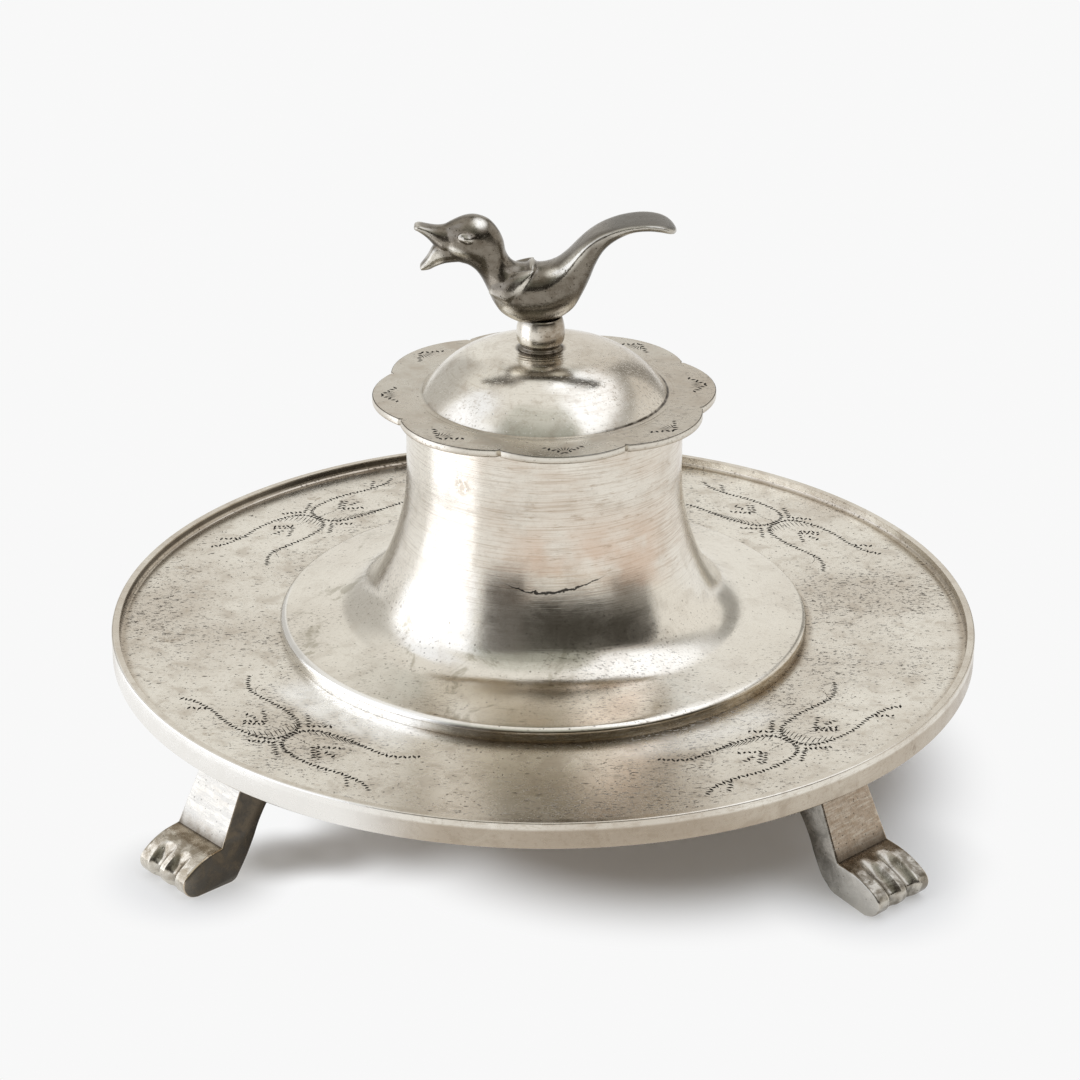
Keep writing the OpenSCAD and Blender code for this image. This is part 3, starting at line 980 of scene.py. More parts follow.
def foot_pewter():
    """The feet: brown paws, a tan front on the right leg that is partly a painted reflection,
    painted shade at that leg's top under the tray, and a grey film that dims the highlight on the
    left leg.
    On each foot one flank is painted very dark for shade over a dark film, with a rubbed edge that
    is partly a painted highlight, and the other is painted silvery for a reflection, shaded under
    the tray."""
    look = settings().pewter
    finish = Pewter("foot_pewter", look.metal, 0.2)
    wear, flank = finish.attribute("wear"), finish.attribute("flank")
    fine, middle, mottle = cast_film(finish, look.tarnish_and_shade)

    paw = finish.at_height(11.0, 8.5)
    low = finish.times(paw, finish.between(mottle, 0.4, 0.58, 0.45, 1.0))
    zone = finish.at_height(3.5, 6.0, 0.35, 1.0)
    finish.tint(finish.times(low, zone), PAW_BROWN, 0.85)

    right = finish.facing(46, 40, 20)
    finish.tint(finish.times(right, low), PAW_DARK, 0.6)
    right = finish.times(right, finish.at_height(8.0, 10.0))
    # painted shade at the right leg's top, under the tray
    top = finish.times(right, finish.at_height(20.0, 25.0))
    # a tan film with drawn grain on the right leg, partly a painted reflection
    drawn = finish.grain(0.7, 3.0, 0.6, squeeze=(0.35, 0.35, 3.2))
    right = finish.times(right, finish.between(drawn, 0.3, 0.6, 0.6, 1.0))
    finish.tint(right, LEG_TAN_AND_REFLECTION, 0.78)
    finish.tint(top, LEG_TOP_SHADE, 0.8)
    # a grey film that dims the highlight on the left leg's front
    dimmed_front = finish.times(finish.facing(-46, 30, 14), finish.at_height(9.5, 12.0))
    filed = finish.grain(0.5, 4.0, 0.7, squeeze=(0.3, 0.3, 2.6))
    filed = finish.times(dimmed_front, finish.between(filed, 0.35, 0.62, 0.55, 1.0))
    finish.tint(filed, LEG_FRONT_DIMMING)

    # one flank painted silvery for a reflection, with painted shade where it goes under the tray
    reflecting_flank = finish.between(flank, -0.55, -0.9)
    finish.tint(reflecting_flank, FLANK_REFLECTION, 0.8)
    behind = finish.at_radius(TRAY_R_MM + 8, TRAY_R_MM - 4)
    behind = finish.times(behind, finish.between(mottle, 0.36, 0.6, 0.5, 1.0))
    finish.tint(finish.times(reflecting_flank, behind), UNDER_TRAY_SHADE, 0.8)
    # the other flank painted very dark for shade, over a dark film
    shaded_flank = finish.between(flank, 0.55, 0.9)
    finish.tint(shaded_flank, FLANK_SHADE_AND_FILM, 0.94)
    finish.tint(finish.times(shaded_flank, finish.between(mottle, 0.42, 0.62)), BROWN_FLANK, 0.6)
    # its rounded edge, rubbed golden and partly a painted highlight
    rubbed = finish.times(finish.between(flank, 0.12, 0.35), finish.between(flank, 0.85, 0.6))
    finish.tint(rubbed, FLANK_EDGE_RUB_AND_HIGHLIGHT, 0.7)

    flat = finish.between(finish.math("ABSOLUTE", flank), 0.3, 0.02)
    hollow = finish.times(finish.between(wear, 0.46, 0.2), flat)
    cast_dirt(finish, look, wear, hollow, fine, middle)
    return finish.finish()


def bird_pewter():
    """The bird: painted shade on its underside, darker on top of its tail, and bright metal in
    patches placed where highlights fall.
    """
    look = settings().pewter
    finish = Pewter("bird_pewter", look.cast, 0.2)
    wear = finish.attribute("wear")
    fine, middle, _ = cast_film(finish, BIRD_FILM)
    upward = finish.split(finish.node("ShaderNodeNewGeometry").outputs["Normal"])[2]
    # painted shade on the downward faces of the belly and tail
    below = finish.between(upward, -0.1, -0.55)
    below = finish.times(below, finish.at_height(109.0, 114.0))
    finish.tint(below, BIRD_PITS_AND_SHADE, 0.75)
    above = finish.between(upward, 0.35, 0.8)
    above = finish.times(above, finish.between(finish.x, 10.0, 16.0))
    finish.tint(above, BIRD_TAIL, 0.86)
    drawn = finish.grain(1.6, 4.0, 0.7, squeeze=(0.35, 0.35, 0.9))
    finish.tint(finish.between(drawn, 0.5, 0.68), BIRD_FILM, 0.5)
    # bright metal where highlights fall, partly rubbed and partly painted highlight
    finish.tint(rubbed_and_highlit_places(finish, fine), look.metal, 0.9)
    specks = finish.pits(0.7, 0.55, seed=2.9)
    finish.tint(specks, BIRD_PITS_AND_SHADE, 0.75)
    finish.raise_by(specks, -0.03)
    cast_dirt(finish, look, wear, finish.between(wear, 0.46, 0.2), fine, middle)
    return finish.finish()


def steel():
    look = settings().pewter
    finish = Pewter("fixing_steel", look.steel, 0.35)
    finish.tint(finish.between(finish.grain(0.6, 4.0), 0.45, 0.7), look.tarnish_and_shade, 0.6)
    finish.raise_by(finish.grain(3.0, 2.0), 0.01)
    return finish.finish()


def liner_glass():
    glass = Finish("liner_glass")
    wave = glass.noise(glass.node("ShaderNodeTexCoord").outputs["Object"], 60.0, 2.0)
    bump = glass.node("ShaderNodeBump", {"Height": wave, "Distance": 0.0004})
    glass.set_shader(
        {
            "Base Color": (0.93, 0.97, 0.96, 1),
            "Transmission Weight": 1.0,
            "IOR": 1.5,
            "Roughness": glass.between(wave, 0.3, 0.8, 0.01, 0.05),
            "Normal": bump.outputs[0],
        }
    )
    return glass.material


# ---- Geometry Nodes ---------------------------------------------------------------------


def labelled(kind, *labels):
    """Tree inputs of one kind."""
    return [(label, kind) for label in labels]


def geometry_tree(name, inputs):
    """A Geometry Nodes tree with a Geometry input and output and the named inputs."""
    tree = bpy.data.node_groups.new(name, "GeometryNodeTree")
    tree.is_modifier = True
    tree.interface.new_socket("Geometry", in_out="OUTPUT", socket_type="NodeSocketGeometry")
    tree.interface.new_socket("Geometry", in_out="INPUT", socket_type="NodeSocketGeometry")
    for label, kind in inputs:
        tree.interface.new_socket(label, in_out="INPUT", socket_type="NodeSocket" + kind)
    graph = Graph(tree)
    return tree, graph, {s.name: s for s in graph.node("NodeGroupInput").outputs}


def close_tree(graph, geometry, *finishes):
    """Ends a tree in Realize Instances and one Set Material for each finish."""
    geometry = graph.node("GeometryNodeRealizeInstances", {0: geometry}).outputs[0]
    for material, selection in finishes:
        given = {"Geometry": geometry, "Material": material}
        if selection is not None:
            given["Selection"] = selection
        geometry = graph.node("GeometryNodeSetMaterial", given).outputs[0]
    graph.node("NodeGroupOutput", {0: geometry})


def run_tree(piece, tree, values):
    """Runs a tree on piece with its named inputs set, and keeps the result as its mesh."""
    modifier = piece.modifiers.new(tree.name, "NODES")
    modifier.node_group = tree
    for item in tree.interface.items_tree:
        if item.in_out == "INPUT" and item.name in values:
            modifier[item.identifier] = values[item.name]
    apply_modifiers(piece)


def scallop_tree():
    """Pulls a round plate's edge in to lobes, each an arc, that meet at sharp notches."""
    tree, graph, given = geometry_tree(
        "Scalloped edge",
        labelled("Float", "Lobes", "Tip Radius", "Notch Depth", "Nick Depth", "Hole Radius", "Turn")
        + labelled("Material", "Metal"),
    )
    place = graph.node("GeometryNodeInputPosition").outputs[0]
    x, y, z = graph.split(place)
    radius = graph.vector("LENGTH", graph.combine(x, y, 0.0))
    bearing = graph.math("SUBTRACT", graph.math("ARCTAN2", y, x), given["Turn"])
    step = graph.math("DIVIDE", math.tau, given["Lobes"])
    half = graph.times(step, 0.5)
    shifted = graph.math("ADD", bearing, graph.math("ADD", half, math.tau))
    off = graph.math("SUBTRACT", graph.math("FLOORED_MODULO", shifted, step), half)
    tip = given["Tip Radius"]
    notch = graph.math("SUBTRACT", tip, given["Notch Depth"])
    squares = graph.math("SUBTRACT", graph.times(tip, tip), graph.times(notch, notch))
    pull = graph.times(notch, graph.math("COSINE", half))
    twice = graph.times(graph.math("SUBTRACT", tip, pull), 2.0)
    lobe_c = graph.math("DIVIDE", squares, twice)
    lobe_r = graph.math("SUBTRACT", tip, lobe_c)
    across = graph.times(lobe_c, graph.math("SINE", off))
    squares = graph.math("SUBTRACT", graph.times(lobe_r, lobe_r), graph.times(across, across))
    root = graph.math("SQRT", squares)
    edge = graph.math("ADD", graph.times(lobe_c, graph.math("COSINE", off)), root)
    aside = graph.times(graph.math("SUBTRACT", half, graph.math("ABSOLUTE", off)), notch)
    nick = graph.between(aside, 0.6 * MM, 0.05 * MM)
    edge = graph.math("SUBTRACT", edge, graph.times(nick, given["Nick Depth"]))
    reach = graph.between(radius, given["Hole Radius"], graph.math("SUBTRACT", tip, 0.5 * MM))
    shift = graph.times(graph.math("SUBTRACT", edge, tip), reach)
    factor = graph.math("DIVIDE", graph.math("ADD", radius, shift), radius)
    moved = graph.combine(graph.times(x, factor), graph.times(y, factor), z)
    setter = graph.node(
        "GeometryNodeSetPosition", {"Geometry": given["Geometry"], "Position": moved}
    )
    close_tree(graph, setter.outputs[0], (given["Metal"], None))
    return tree


def engraving_tree():
    """Cuts rows of ticks along paths, and single strokes along edges, out of a flat top."""
    tree, graph, given = geometry_tree(
        "Engraving",
        labelled("Object", "Paths", "Strokes")
        + labelled("Float", "Pitch", "Tick Length", "Tick Width", "Line Width")
        + labelled("Float", "Depth", "Slant", "Surface Height")
        + labelled("Int", "Seed")
        + labelled("Material", "Metal", "Cut"),
    )
    nick = graph.node("GeometryNodeMeshUVSphere", {"Segments": 4, "Rings": 2, "Radius": 1.0})
    depth = given["Depth"]

    def place_nicks(points, rotation, half_length, width):
        instances = graph.node(
            "GeometryNodeInstanceOnPoints",
            {
                "Points": points,
                "Instance": nick.outputs[0],
                "Rotation": rotation,
                "Scale": graph.combine(half_length, graph.times(width, 0.5), depth),
            },
        )
        return instances.outputs[0]

    def turned_by(line, angle_in_plane):
        facing = graph.node("FunctionNodeAlignRotationToVector", {"Vector": line}, axis="X")
        spin = graph.node("FunctionNodeEulerToRotation", {0: graph.combine(0, 0, angle_in_plane)})
        both = graph.node(
            "FunctionNodeRotateRotation", {"Rotation": facing.outputs[0]}, rotation_space="LOCAL"
        )
        graph.feed(both.inputs["Rotate By"], spin.outputs[0])
        return both.outputs[0]

    def random_value(low, high, offset):
        made = graph.node("FunctionNodeRandomValue", data_type="FLOAT")
        graph.feed(made.inputs["Seed"], graph.math("ADD", given["Seed"], offset))
        numbers = [s for s in made.inputs if s.enabled and s.name in ("Min", "Max")]
        numbers[0].default_value, numbers[1].default_value = low, high
        return [s for s in made.outputs if s.enabled][0]

    paths = graph.node("GeometryNodeObjectInfo", {"Object": given["Paths"]})
    rows = graph.node("GeometryNodeResampleCurve", {"Curve": paths.outputs["Geometry"]})
    rows.mode = "LENGTH"
    graph.feed(rows.inputs["Length"], given["Pitch"])
    along = graph.node("GeometryNodeInputTangent").outputs[0]
    index = graph.node("GeometryNodeInputIndex").outputs[0]
    odd = graph.math("MULTIPLY_ADD", graph.math("MODULO", index, 2.0), 2.0, -1.0)
    lean = graph.math("MULTIPLY_ADD", odd, given["Slant"], math.pi / 2)
    lean = graph.math("ADD", lean, random_value(-0.12, 0.12, 1))
    size = graph.times(given["Tick Length"], random_value(0.36, 0.56, 2))
    ticks = place_nicks(rows.outputs[0], turned_by(along, lean), size, given["Tick Width"])

    strokes = graph.node("GeometryNodeObjectInfo", {"Object": given["Strokes"]})
    ends = graph.node("GeometryNodeInputMeshEdgeVertices")
    gap = graph.vector("SUBTRACT", ends.outputs["Position 2"], ends.outputs["Position 1"])
    kept = graph.node(
        "GeometryNodeCaptureAttribute",
        {"Geometry": strokes.outputs["Geometry"]},
        domain="EDGE",
    )
    kept.capture_items.new("VECTOR", "gap")
    graph.feed(kept.inputs["gap"], gap)
    middles = graph.node("GeometryNodeMeshToPoints", {"Mesh": kept.outputs["Geometry"]})
    middles.mode = "EDGES"
    line = kept.outputs["gap"]
    half_line = graph.times(graph.vector("LENGTH", line), 0.5)
    rotation = turned_by(line, 0.0)
    lines = place_nicks(middles.outputs[0], rotation, half_line, given["Line Width"])

    nicks = graph.node("GeometryNodeJoinGeometry")
    graph.tree.links.new(ticks, nicks.inputs[0])
    graph.tree.links.new(lines, nicks.inputs[0])
    cut = graph.node("GeometryNodeMeshBoolean", operation="DIFFERENCE", solver="MANIFOLD")
    graph.feed(cut.inputs["Mesh 1"], given["Geometry"])
    graph.tree.links.new(nicks.outputs[0], cut.inputs["Mesh 2"])
    height = graph.split(graph.node("GeometryNodeInputPosition").outputs[0])[2]
    top = given["Surface Height"]
    below = graph.math("LESS_THAN", height, graph.math("SUBTRACT", top, 0.01 * MM))
    low = graph.math("SUBTRACT", top, graph.times(depth, 0.5))
    above = graph.math("GREATER_THAN", height, low)
    finishes = (given["Metal"], None), (given["Cut"], graph.times(below, above))
    close_tree(graph, cut.outputs["Mesh"], *finishes)
    return tree


def curve_of(name, lines):
    """A curve object with one straight-sided spline for each line of points."""
    data = bpy.data.curves.new(name, "CURVE")
    data.dimensions = "3D"
    for line in lines:
        row = data.splines.new("POLY")
        row.points.add(len(line) - 1)
        for point, place in zip(row.points, line):
            point.co = (*place, 1)
    return placed(name, data)


def edges_of(name, pairs):
    """A mesh object with one loose edge for each pair of points."""
    mesh = bpy.data.meshes.new(name)
    points = [p for pair in pairs for p in pair]
    mesh.from_pydata(points, [(2 * i, 2 * i + 1) for i in range(len(pairs))], [])
    return placed(name, mesh)


def engrave(piece, paths, strokes, height, metal, cut, seed):
    """Cuts paths (lines of points) and strokes (pairs of points) into a piece's flat top."""
    cuts = settings().engraving
    lift = cuts.depth * 0.12
    paths, strokes = (
        [[(x, y, height + lift) for x, y in line] for line in lines] for lines in (paths, strokes)
    )
    helpers = curve_of("engraved_paths", paths), edges_of("engraved_strokes", strokes)
    values = {
        "Paths": helpers[0],
        "Strokes": helpers[1],
        "Pitch": cuts.pitch,
        "Tick Length": cuts.tick,
        "Tick Width": cuts.width,
        "Line Width": cuts.line,
        "Depth": cuts.depth,
        "Slant": cuts.slant,
        "Surface Height": height,
        "Seed": seed,
        "Metal": metal,
        "Cut": cut,
    }
    run_tree(piece, engraving_tree(), values)
    for helper in helpers:
        bpy.data.objects.remove(helper)
    if len(piece.data.polygons) < 100:
        raise RuntimeError(f"the engraving left nothing of {piece.name}")
    shade(piece, 30)
    # the plane itself is shaded flat, so that no nick's rim bends the light across it
    curved = [abs(face.normal.z) < CURVED_BELOW for face in piece.data.polygons]
    piece.data.polygons.foreach_set("use_smooth", curved)


# ---- Ornament ---------------------------------------------------------------------------

# One scroll of the tray's ornament, in mm along the circle and outwards from it. A group is
# two of them back to back, and between them stand two small angled sprigs.
SCROLL_ARMS = [
    [(0.3, 1.0), (0.6, -1.2), (1.7, -2.9), (3.6, -4.1), (7.2, -4.8), (11.2, -5.1), (15.5, -4.6),
     (19, -4.0), (22.8, -3.4), (26.5, -4.2), (30, -5.8)],
    [(0.3, 1.0), (0.5, 3.2), (1.3, 5.2), (3.4, 6.6), (6.5, 7.5), (10.5, 8.1), (14.5, 8.2),
     (18.5, 8.0), (21.8, 8.6), (24.5, 9.6), (26.5, 11.5)],
]
SCROLL_LEAVES = [
    [(20.5, 9.0), (21.4, 10.5), (22.3, 11.9)],
    [(8.3, 1.2), (10.0, 0.3), (12.4, -0.9)],
    [(7.6, 2.3), (9.2, 4.1), (10.4, 5.4)],
    [(8.6, 1.9), (10.0, 3.4), (11.3, 4.7)],
    [(11.2, 2.2), (13.4, 2.7)],
]
SCROLL_LINES = [
    [(0.8, 1.4), (4.0, 1.5), (6.6, 1.9)],
    [(20.4, -3.8), (23.0, -4.6), (24.6, -6.4)],
    [(3.4, -4.0), (1.7, -2.9), (0.6, -1.2), (0.3, 1.0), (0.5, 3.2), (1.3, 5.2), (3.4, 6.6)],
    [(3.4, -3.7), (1.9, -2.6), (0.9, -1.0), (0.6, 1.0), (0.8, 3.1), (1.6, 4.9), (3.5, 6.3)],
]
SPRIGS = [((0, -4.0), 4.0, -3.2), ((0, 6.2), 4.0, 3.1)]
# Each group's bearing, its shift along the circle, and which of its scrolls looks forwards
GROUPS_AT = [(-42.0, -1.6, 1.0), (41.8, 0.0, -1.0), (133.4, 0.0, 1.0), (-134.8, 0.0, -1.0)]


def on_circle(group, point, flip=1.0):
    """(along, out) in mm at a group (bearing, shift), as a place on the tray."""
    circle = settings().engraving.circle
    bearing = math.radians(group[0]) + (flip * point[0] + group[1]) * MM / circle
    radius = circle + point[1] * MM
    return radius * math.sin(bearing), -radius * math.cos(bearing)


def scroll_hatch(forward):
    """Fine parallel strokes inside a scroll, from its inner arm or from its outer one."""
    strokes = []
    if forward:
        arm = smooth_line(SCROLL_ARMS[0], 12)[10:]
        for i in range(14):
            start = min(arm, key=lambda p: abs(p[0] - 1.3 - 1.0 * i))
            full = math.sin(math.pi * (i + 2.2) / 17)
            reach = (1.4 + 2.9 * full, 0.5 + 1.2 * full)
            strokes.append(((start[0], start[1]), (start[0] + reach[0], start[1] + reach[1])))
        return strokes
    arm = smooth_line(SCROLL_ARMS[0][2::-1] + SCROLL_ARMS[1][1:5], 12)
    for i in range(12):
        start = arm[round(4 + (len(arm) - 8) * i / 11)]
        full = math.sin(math.pi * (i + 2) / 15)
        reach = (1.6 + 2.8 * full, -0.6 - 1.1 * full)
        strokes.append(((start[0], start[1]), (start[0] + reach[0], start[1] + reach[1])))
    return strokes


def tray_ornament():
    paths, strokes = [], []
    for group in GROUPS_AT:
        for flip in (1.0, -1.0):
            for line in SCROLL_ARMS + SCROLL_LEAVES:
                paths.append([on_circle(group, p, flip) for p in smooth_line(line)])
            chains = [smooth_line(line, 3) for line in SCROLL_LINES]
            pairs = [pair for chain in chains for pair in zip(chain, chain[1:])]
            for pair in pairs + scroll_hatch(flip == group[2]):
                strokes.append([on_circle(group, p, flip) for p in pair])
        for (along, out), half, rise in SPRIGS:
            for side in (-1, 1):
                leg = [(along, out), (along + side * half, out + rise)]
                paths.append([on_circle(group, p) for p in leg])
            for k in range(4):
                x, y = along + 0.5 + 0.85 * k, out + rise * (0.12 + 0.2 * k)
                strokes.append([on_circle(group, p) for p in ((x, y), (x, y + rise * 0.45))])
    return paths, strokes


def lid_ornament():
    """A small fan on each lobe: rays from a point, between two bold rows of ticks."""
    lid = settings().lid
    paths, strokes = [], []
    for i in range(lid.lobes):
        bearing = lid.turn + math.tau * i / lid.lobes + 0.02 * math.sin(5 * i)
        out = Vector((math.sin(bearing), -math.cos(bearing)))
        along = Vector((math.cos(bearing), math.sin(bearing)))
        foot = out * FAN_R

        def spot(reach, turn):
            turn = math.radians(turn)
            return tuple(foot + (-out * math.cos(turn) + along * math.sin(turn)) * reach * MM)

        for k in range(6):
            turn = -36 + 14.4 * k
            strokes.append([spot(0.9, turn), spot(4.1, turn)])
        for side in (-1, 1):
            paths.append([spot(0.5, side * 50), spot(5.3, side * 50)])
    return paths, strokes


# ---- Pieces -----------------------------------------------------------------------------


def make_tray(cut):
    size = settings().tray
    band_r = TRAY_R - size.rim_width
    cove = (band_r - size.cove, FLOOR_Z + size.cove)
    outline = rounded(
        [
            (0, UNDER_Z),
            (MIDDLE_R, UNDER_Z),
            (band_r, UNDER_Z, EASED),
            (band_r, BAND_Z, size.edge),
            (TRAY_R, BAND_Z, size.edge),
            (TRAY_R, RIM_Z, size.edge),
            (band_r, RIM_Z, size.edge),
        ]
    )
    outline += arc(cove, size.cove, 0, -math.pi / 2, 6)
    outline += [(MIDDLE_R, FLOOR_Z), (0, FLOOR_Z)]
    tray = turned("engraved_tray", outline, 288)
    metal = tray_pewter()
    tray.data.materials.append(metal)
    paths, strokes = tray_ornament()
    engrave(tray, paths, strokes, FLOOR_Z, metal, cut, 3)
    return assemble(tray, "stand", "pewter", None, "tray")


# The feet are hand finished: each one's place and bearing in degrees, and where its flutes
# start, the share that its toes reach, and in mm how far its heel goes in and stands off the desk
FEET = [
    ("front_left", -135, (12, 1.0, 1.8, 0.0)),
    ("front_right", -45, (3, 1.15, 0.2, 1.4)),
    ("rear_left", 135, (10, 1.05, 1.2, 0.0)),
    ("rear_right", 45, (12, 1.08, 1.0, 0.5)),
]


# The top and front of a foot's toes, in mm out from its instep and up from the desk
TOES = [
    (0, PAW_TOP), (2.0, 8.95), (4.1, 8.55), (6.3, 7.75), (8.7, 6.4), (10.25, 5.0), (10.6, 3.3),
    (9.9, 1.6), (8.7, 0.5), (7.1, 0),
]


def foot_outline(size, start, reach, heel_in, heel_up):
    """The side of a foot as (out from the axis, up from the desk), and where its flutes run."""
    front = (TRAY_R - size.inset) / MM
    top = UNDER_Z_MM
    paw = [(front + 5.5 + x * reach, z) for x, z in TOES]
    back = front - heel_in
    heel = [
        (back + 5.2, heel_up), (back + 4.0, heel_up + 0.5), (back + 3.0, heel_up * 0.7 + 1.8),
        (back + 1.1, 4.6), (back - 0.9, 8.2), (back - 3.0, 12.2), (back - 6.0, 16.3),
        (back - 10.6, 21.0), (back - 16.8, top),
    ]
    leg = [(front - 2.9 + 8.4 * t / 10, top + (PAW_TOP - top) * t / 10) for t in range(10)]
    flutes = (len(leg) + start, len(leg) + 42)
    return [Vector(p) * MM for p in leg + smooth_line(paw, 5) + smooth_line(heel, 4)], flutes


def make_foot(name, node, bearing, shape, material):
    """A paw foot as a grid: its side outline carried across its width, pulled in at both
    edges and scooped between the toes."""
    size = settings().feet
    line, flutes = foot_outline(size, *shape)
    count = len(line)
    inward = []
    for i in range(count):
        run = line[(i + 1) % count] - line[i - 1]
        inward.append(Vector((run.y, -run.x)).normalized())
    half = size.width / 2
    sides = [half - size.edge * (1 - math.sin(math.radians(a))) for a in range(0, 90, 18)]
    inner = half - size.edge
    columns = [inner * (2 * i / FOOT_COLUMNS - 1) for i in range(1, FOOT_COLUMNS)]
    columns = sorted([-s for s in sides] + columns + sides + [inner, -inner])
    toe = size.width / 6
    bm = bmesh.new()
    rows = []
    for y in columns:
        past = max(0, abs(y) - inner) / size.edge
        edge = size.edge * (1 - math.sqrt(max(0, 1 - past * past)))
        groove = 0.0
        for centre in (-toe, toe):
            off = abs(y - centre) / (size.flute_width / 2)
            if off < 1:
                groove = max(groove, math.cos(off * math.pi / 2) ** 0.9)
        row = []
        for i, point in enumerate(line):
            ramp = 0.0
            if flutes[0] < i < flutes[1]:
                t = (i - flutes[0]) / (flutes[1] - flutes[0])
                ramp = min(1.0, t * 3.4) * min(1.0, (1 - t) * 4.8)
                ramp = ramp * ramp * (3 - 2 * ramp)
            place = point + inward[i] * (edge + groove * ramp * size.flute_depth)
            up = max(0.0, min(1.0, (point.y - TAPER_FROM) / (UNDER_Z - TAPER_FROM)))
            across = y * (1 - size.taper * up)
            row.append(bm.verts.new((place.x, across, max(0.0, place.y))))
        rows.append(row)
    bridge(bm, rows, capped=True)
    flank = [
        math.copysign(max(0.0, min(1.0, (abs(y) - inner) / size.edge)), y)
        for y in columns
        for _ in range(count)
    ]
    bmesh.ops.rotate(bm, verts=bm.verts, cent=(0, 0, 0), matrix=Matrix.Rotation(bearing, 3, "Z"))
    foot = new_piece(name, bm, 38)
    foot.data.attributes.new("flank", "FLOAT", "POINT").data.foreach_set("value", flank)
    add_wear(foot, 3, 0.25)
    return assemble(foot, "stand", "pewter", material, node)


def flare_line(size, off):
    """The well's outline from its neck's top down to its skirt, moved by off into the metal."""
    start_r = size.neck_r + size.flare_r * (1 - math.cos(size.flare_a))
    start_h = size.flare_h - size.flare_r * math.sin(size.flare_a)
    end_a = math.pi / 2 - size.skirt_a
    slope = math.tan(size.skirt_a)
    rise = math.sin(end_a) - math.sin(size.flare_a)
    run = math.cos(size.flare_a) - math.cos(end_a)
    turn_r = (start_h - size.edge_h - (BASE_R - start_r) * slope) / (rise - run * slope)
    turn_c = (
        start_r + turn_r * math.cos(size.flare_a),
        FLOOR_Z + start_h + turn_r * math.sin(size.flare_a),
    )
    upper_c = (size.neck_r + size.flare_r, FLOOR_Z + size.flare_h)
    line = arc(upper_c, size.flare_r + off, math.pi, math.pi + size.flare_a, 24)
    line += arc(turn_c, turn_r + off, math.pi + size.flare_a, math.pi + end_a, 18)[1:]
    return line


def make_well():
    size = settings().well
    skirt_in = BASE_R - size.land
    slope = math.tan(size.skirt_a)
    edge_z = FLOOR_Z + size.edge_h
    roof_z = edge_z + size.land * slope - size.wall / math.cos(size.skirt_a)
    outer = flare_line(size, 0)
    skirt = outer[-1]
    runs = 10
    outer += [
        (
            skirt[0] + (BASE_R - size.edge - skirt[0]) * i / runs,
            skirt[1] + (edge_z + size.edge * slope - skirt[1]) * i / runs,
        )
        for i in range(1, runs)
    ]
    foot = rounded(
        [outer[-1], (BASE_R, edge_z, size.edge), (BASE_R, FLOOR_Z, 0.12 * MM), (skirt_in, FLOOR_Z)]
    )[1:]
    lip = rounded(
        [
            (size.neck_r - size.wall, NECK_Z - MM),
            (size.neck_r - size.wall, NECK_Z, EASED),
            (size.neck_r, NECK_Z, EASED),
            (size.neck_r, NECK_Z - MM),
        ]
    )
    inner = flare_line(size, size.wall)
    well = turned("well", lip + outer + foot + [(skirt_in, roof_z)] + inner[::-1])
    return assemble(well, "stand", "pewter", well_pewter(), "well_body")


def make_liner():
    size = settings().liner
    bottom, top = liner_low.z, liner_high.z
    under = top - size.flange
    inner = size.body_r - size.glass
    outline = rounded(
        [
            (0, bottom + 0.8 * MM),
            (size.body_r - 5 * MM, bottom + 0.8 * MM, 1 * MM),
            (size.body_r - 3.4 * MM, bottom, 0.5 * MM),
            (size.body_r, bottom, size.foot),
            (size.body_r, under, EASED),
            (liner_high.x, under, size.lip),
            (liner_high.x, top, size.lip),
            (inner, top, size.lip),
            (inner, bottom + size.glass, size.foot),
            (0, bottom + size.glass),
        ],
        8,
    )
    liner = turned("ink_liner", outline, 192)
    return assemble(liner, "liner", "clear_glass", liner_glass(), "glass_liner")


def make_lid_plate(metal, cut):
    size = settings().lid
    low, top = plate_low.z, plate_high.z
    tip = size.tip_r
    outline = rounded(
        [
            (size.hole_r, low),
            (size.hole_r + 3 * MM, low),
            (tip - 4 * MM, low),
            (tip, low, size.edge),
            (tip, top, size.edge),
            (tip - 4 * MM, top),
        ]
    )
    outline.append((size.hole_r, top))
    plate = turned("scalloped_plate", outline, 720, start=size.turn - math.pi / 2)
    plate.data.materials.append(metal)
    values = {
        "Lobes": float(size.lobes),
        "Tip Radius": tip,
        "Notch Depth": size.notch,
        "Nick Depth": size.nick,
        "Hole Radius": size.hole_r + 3 * MM,
        "Turn": size.turn - math.pi / 2,
        "Metal": metal,
    }
    run_tree(plate, scallop_tree(), values)
    paths, strokes = lid_ornament()
    engrave(plate, paths, strokes, top, metal, cut, 11)
    return assemble(plate, "lid", "pewter", None, "lid_plate")


def dome_line(radius, land, height, power, steps):
    """One side of the dome, from the edge of its flat top down to the plate."""
    line = []
    for i in range(steps + 1):
        t = i / steps
        line.append((land + (radius - land) * t, dome_low.z + height * (1 - t**power)))
    return line


def make_dome(metal):
    size = settings().lid
    top = dome_high.z
    height = top - dome_low.z
    wall, land, power = size.dome_wall, size.dome_land, size.dome_power
    outer = dome_line(DOME_R, land, height, power, 40)
    inner = dome_line(DOME_R - wall, land + 2 * MM, height - wall, power, 24)
    outline = [(0, top)] + outer + inner[::-1] + [(0, top - wall)]
    dome = turned("lid_cap", outline)
    return assemble(dome, "lid", "pewter", metal, "lid_dome")


def make_collar(metal):
    size = settings().lid
    outer = collar_high.x
    inner = outer - size.collar_t
    outline = rounded(
        [
            (inner, collar_low.z, EASED),
            (outer, collar_low.z, 0.5 * MM),
            (outer, collar_high.z),
            (inner, collar_high.z),
        ]
    )
    collar = turned("centring_ring", outline, 192)
    return assemble(collar, "lid", "pewter", metal, "lid_collar")


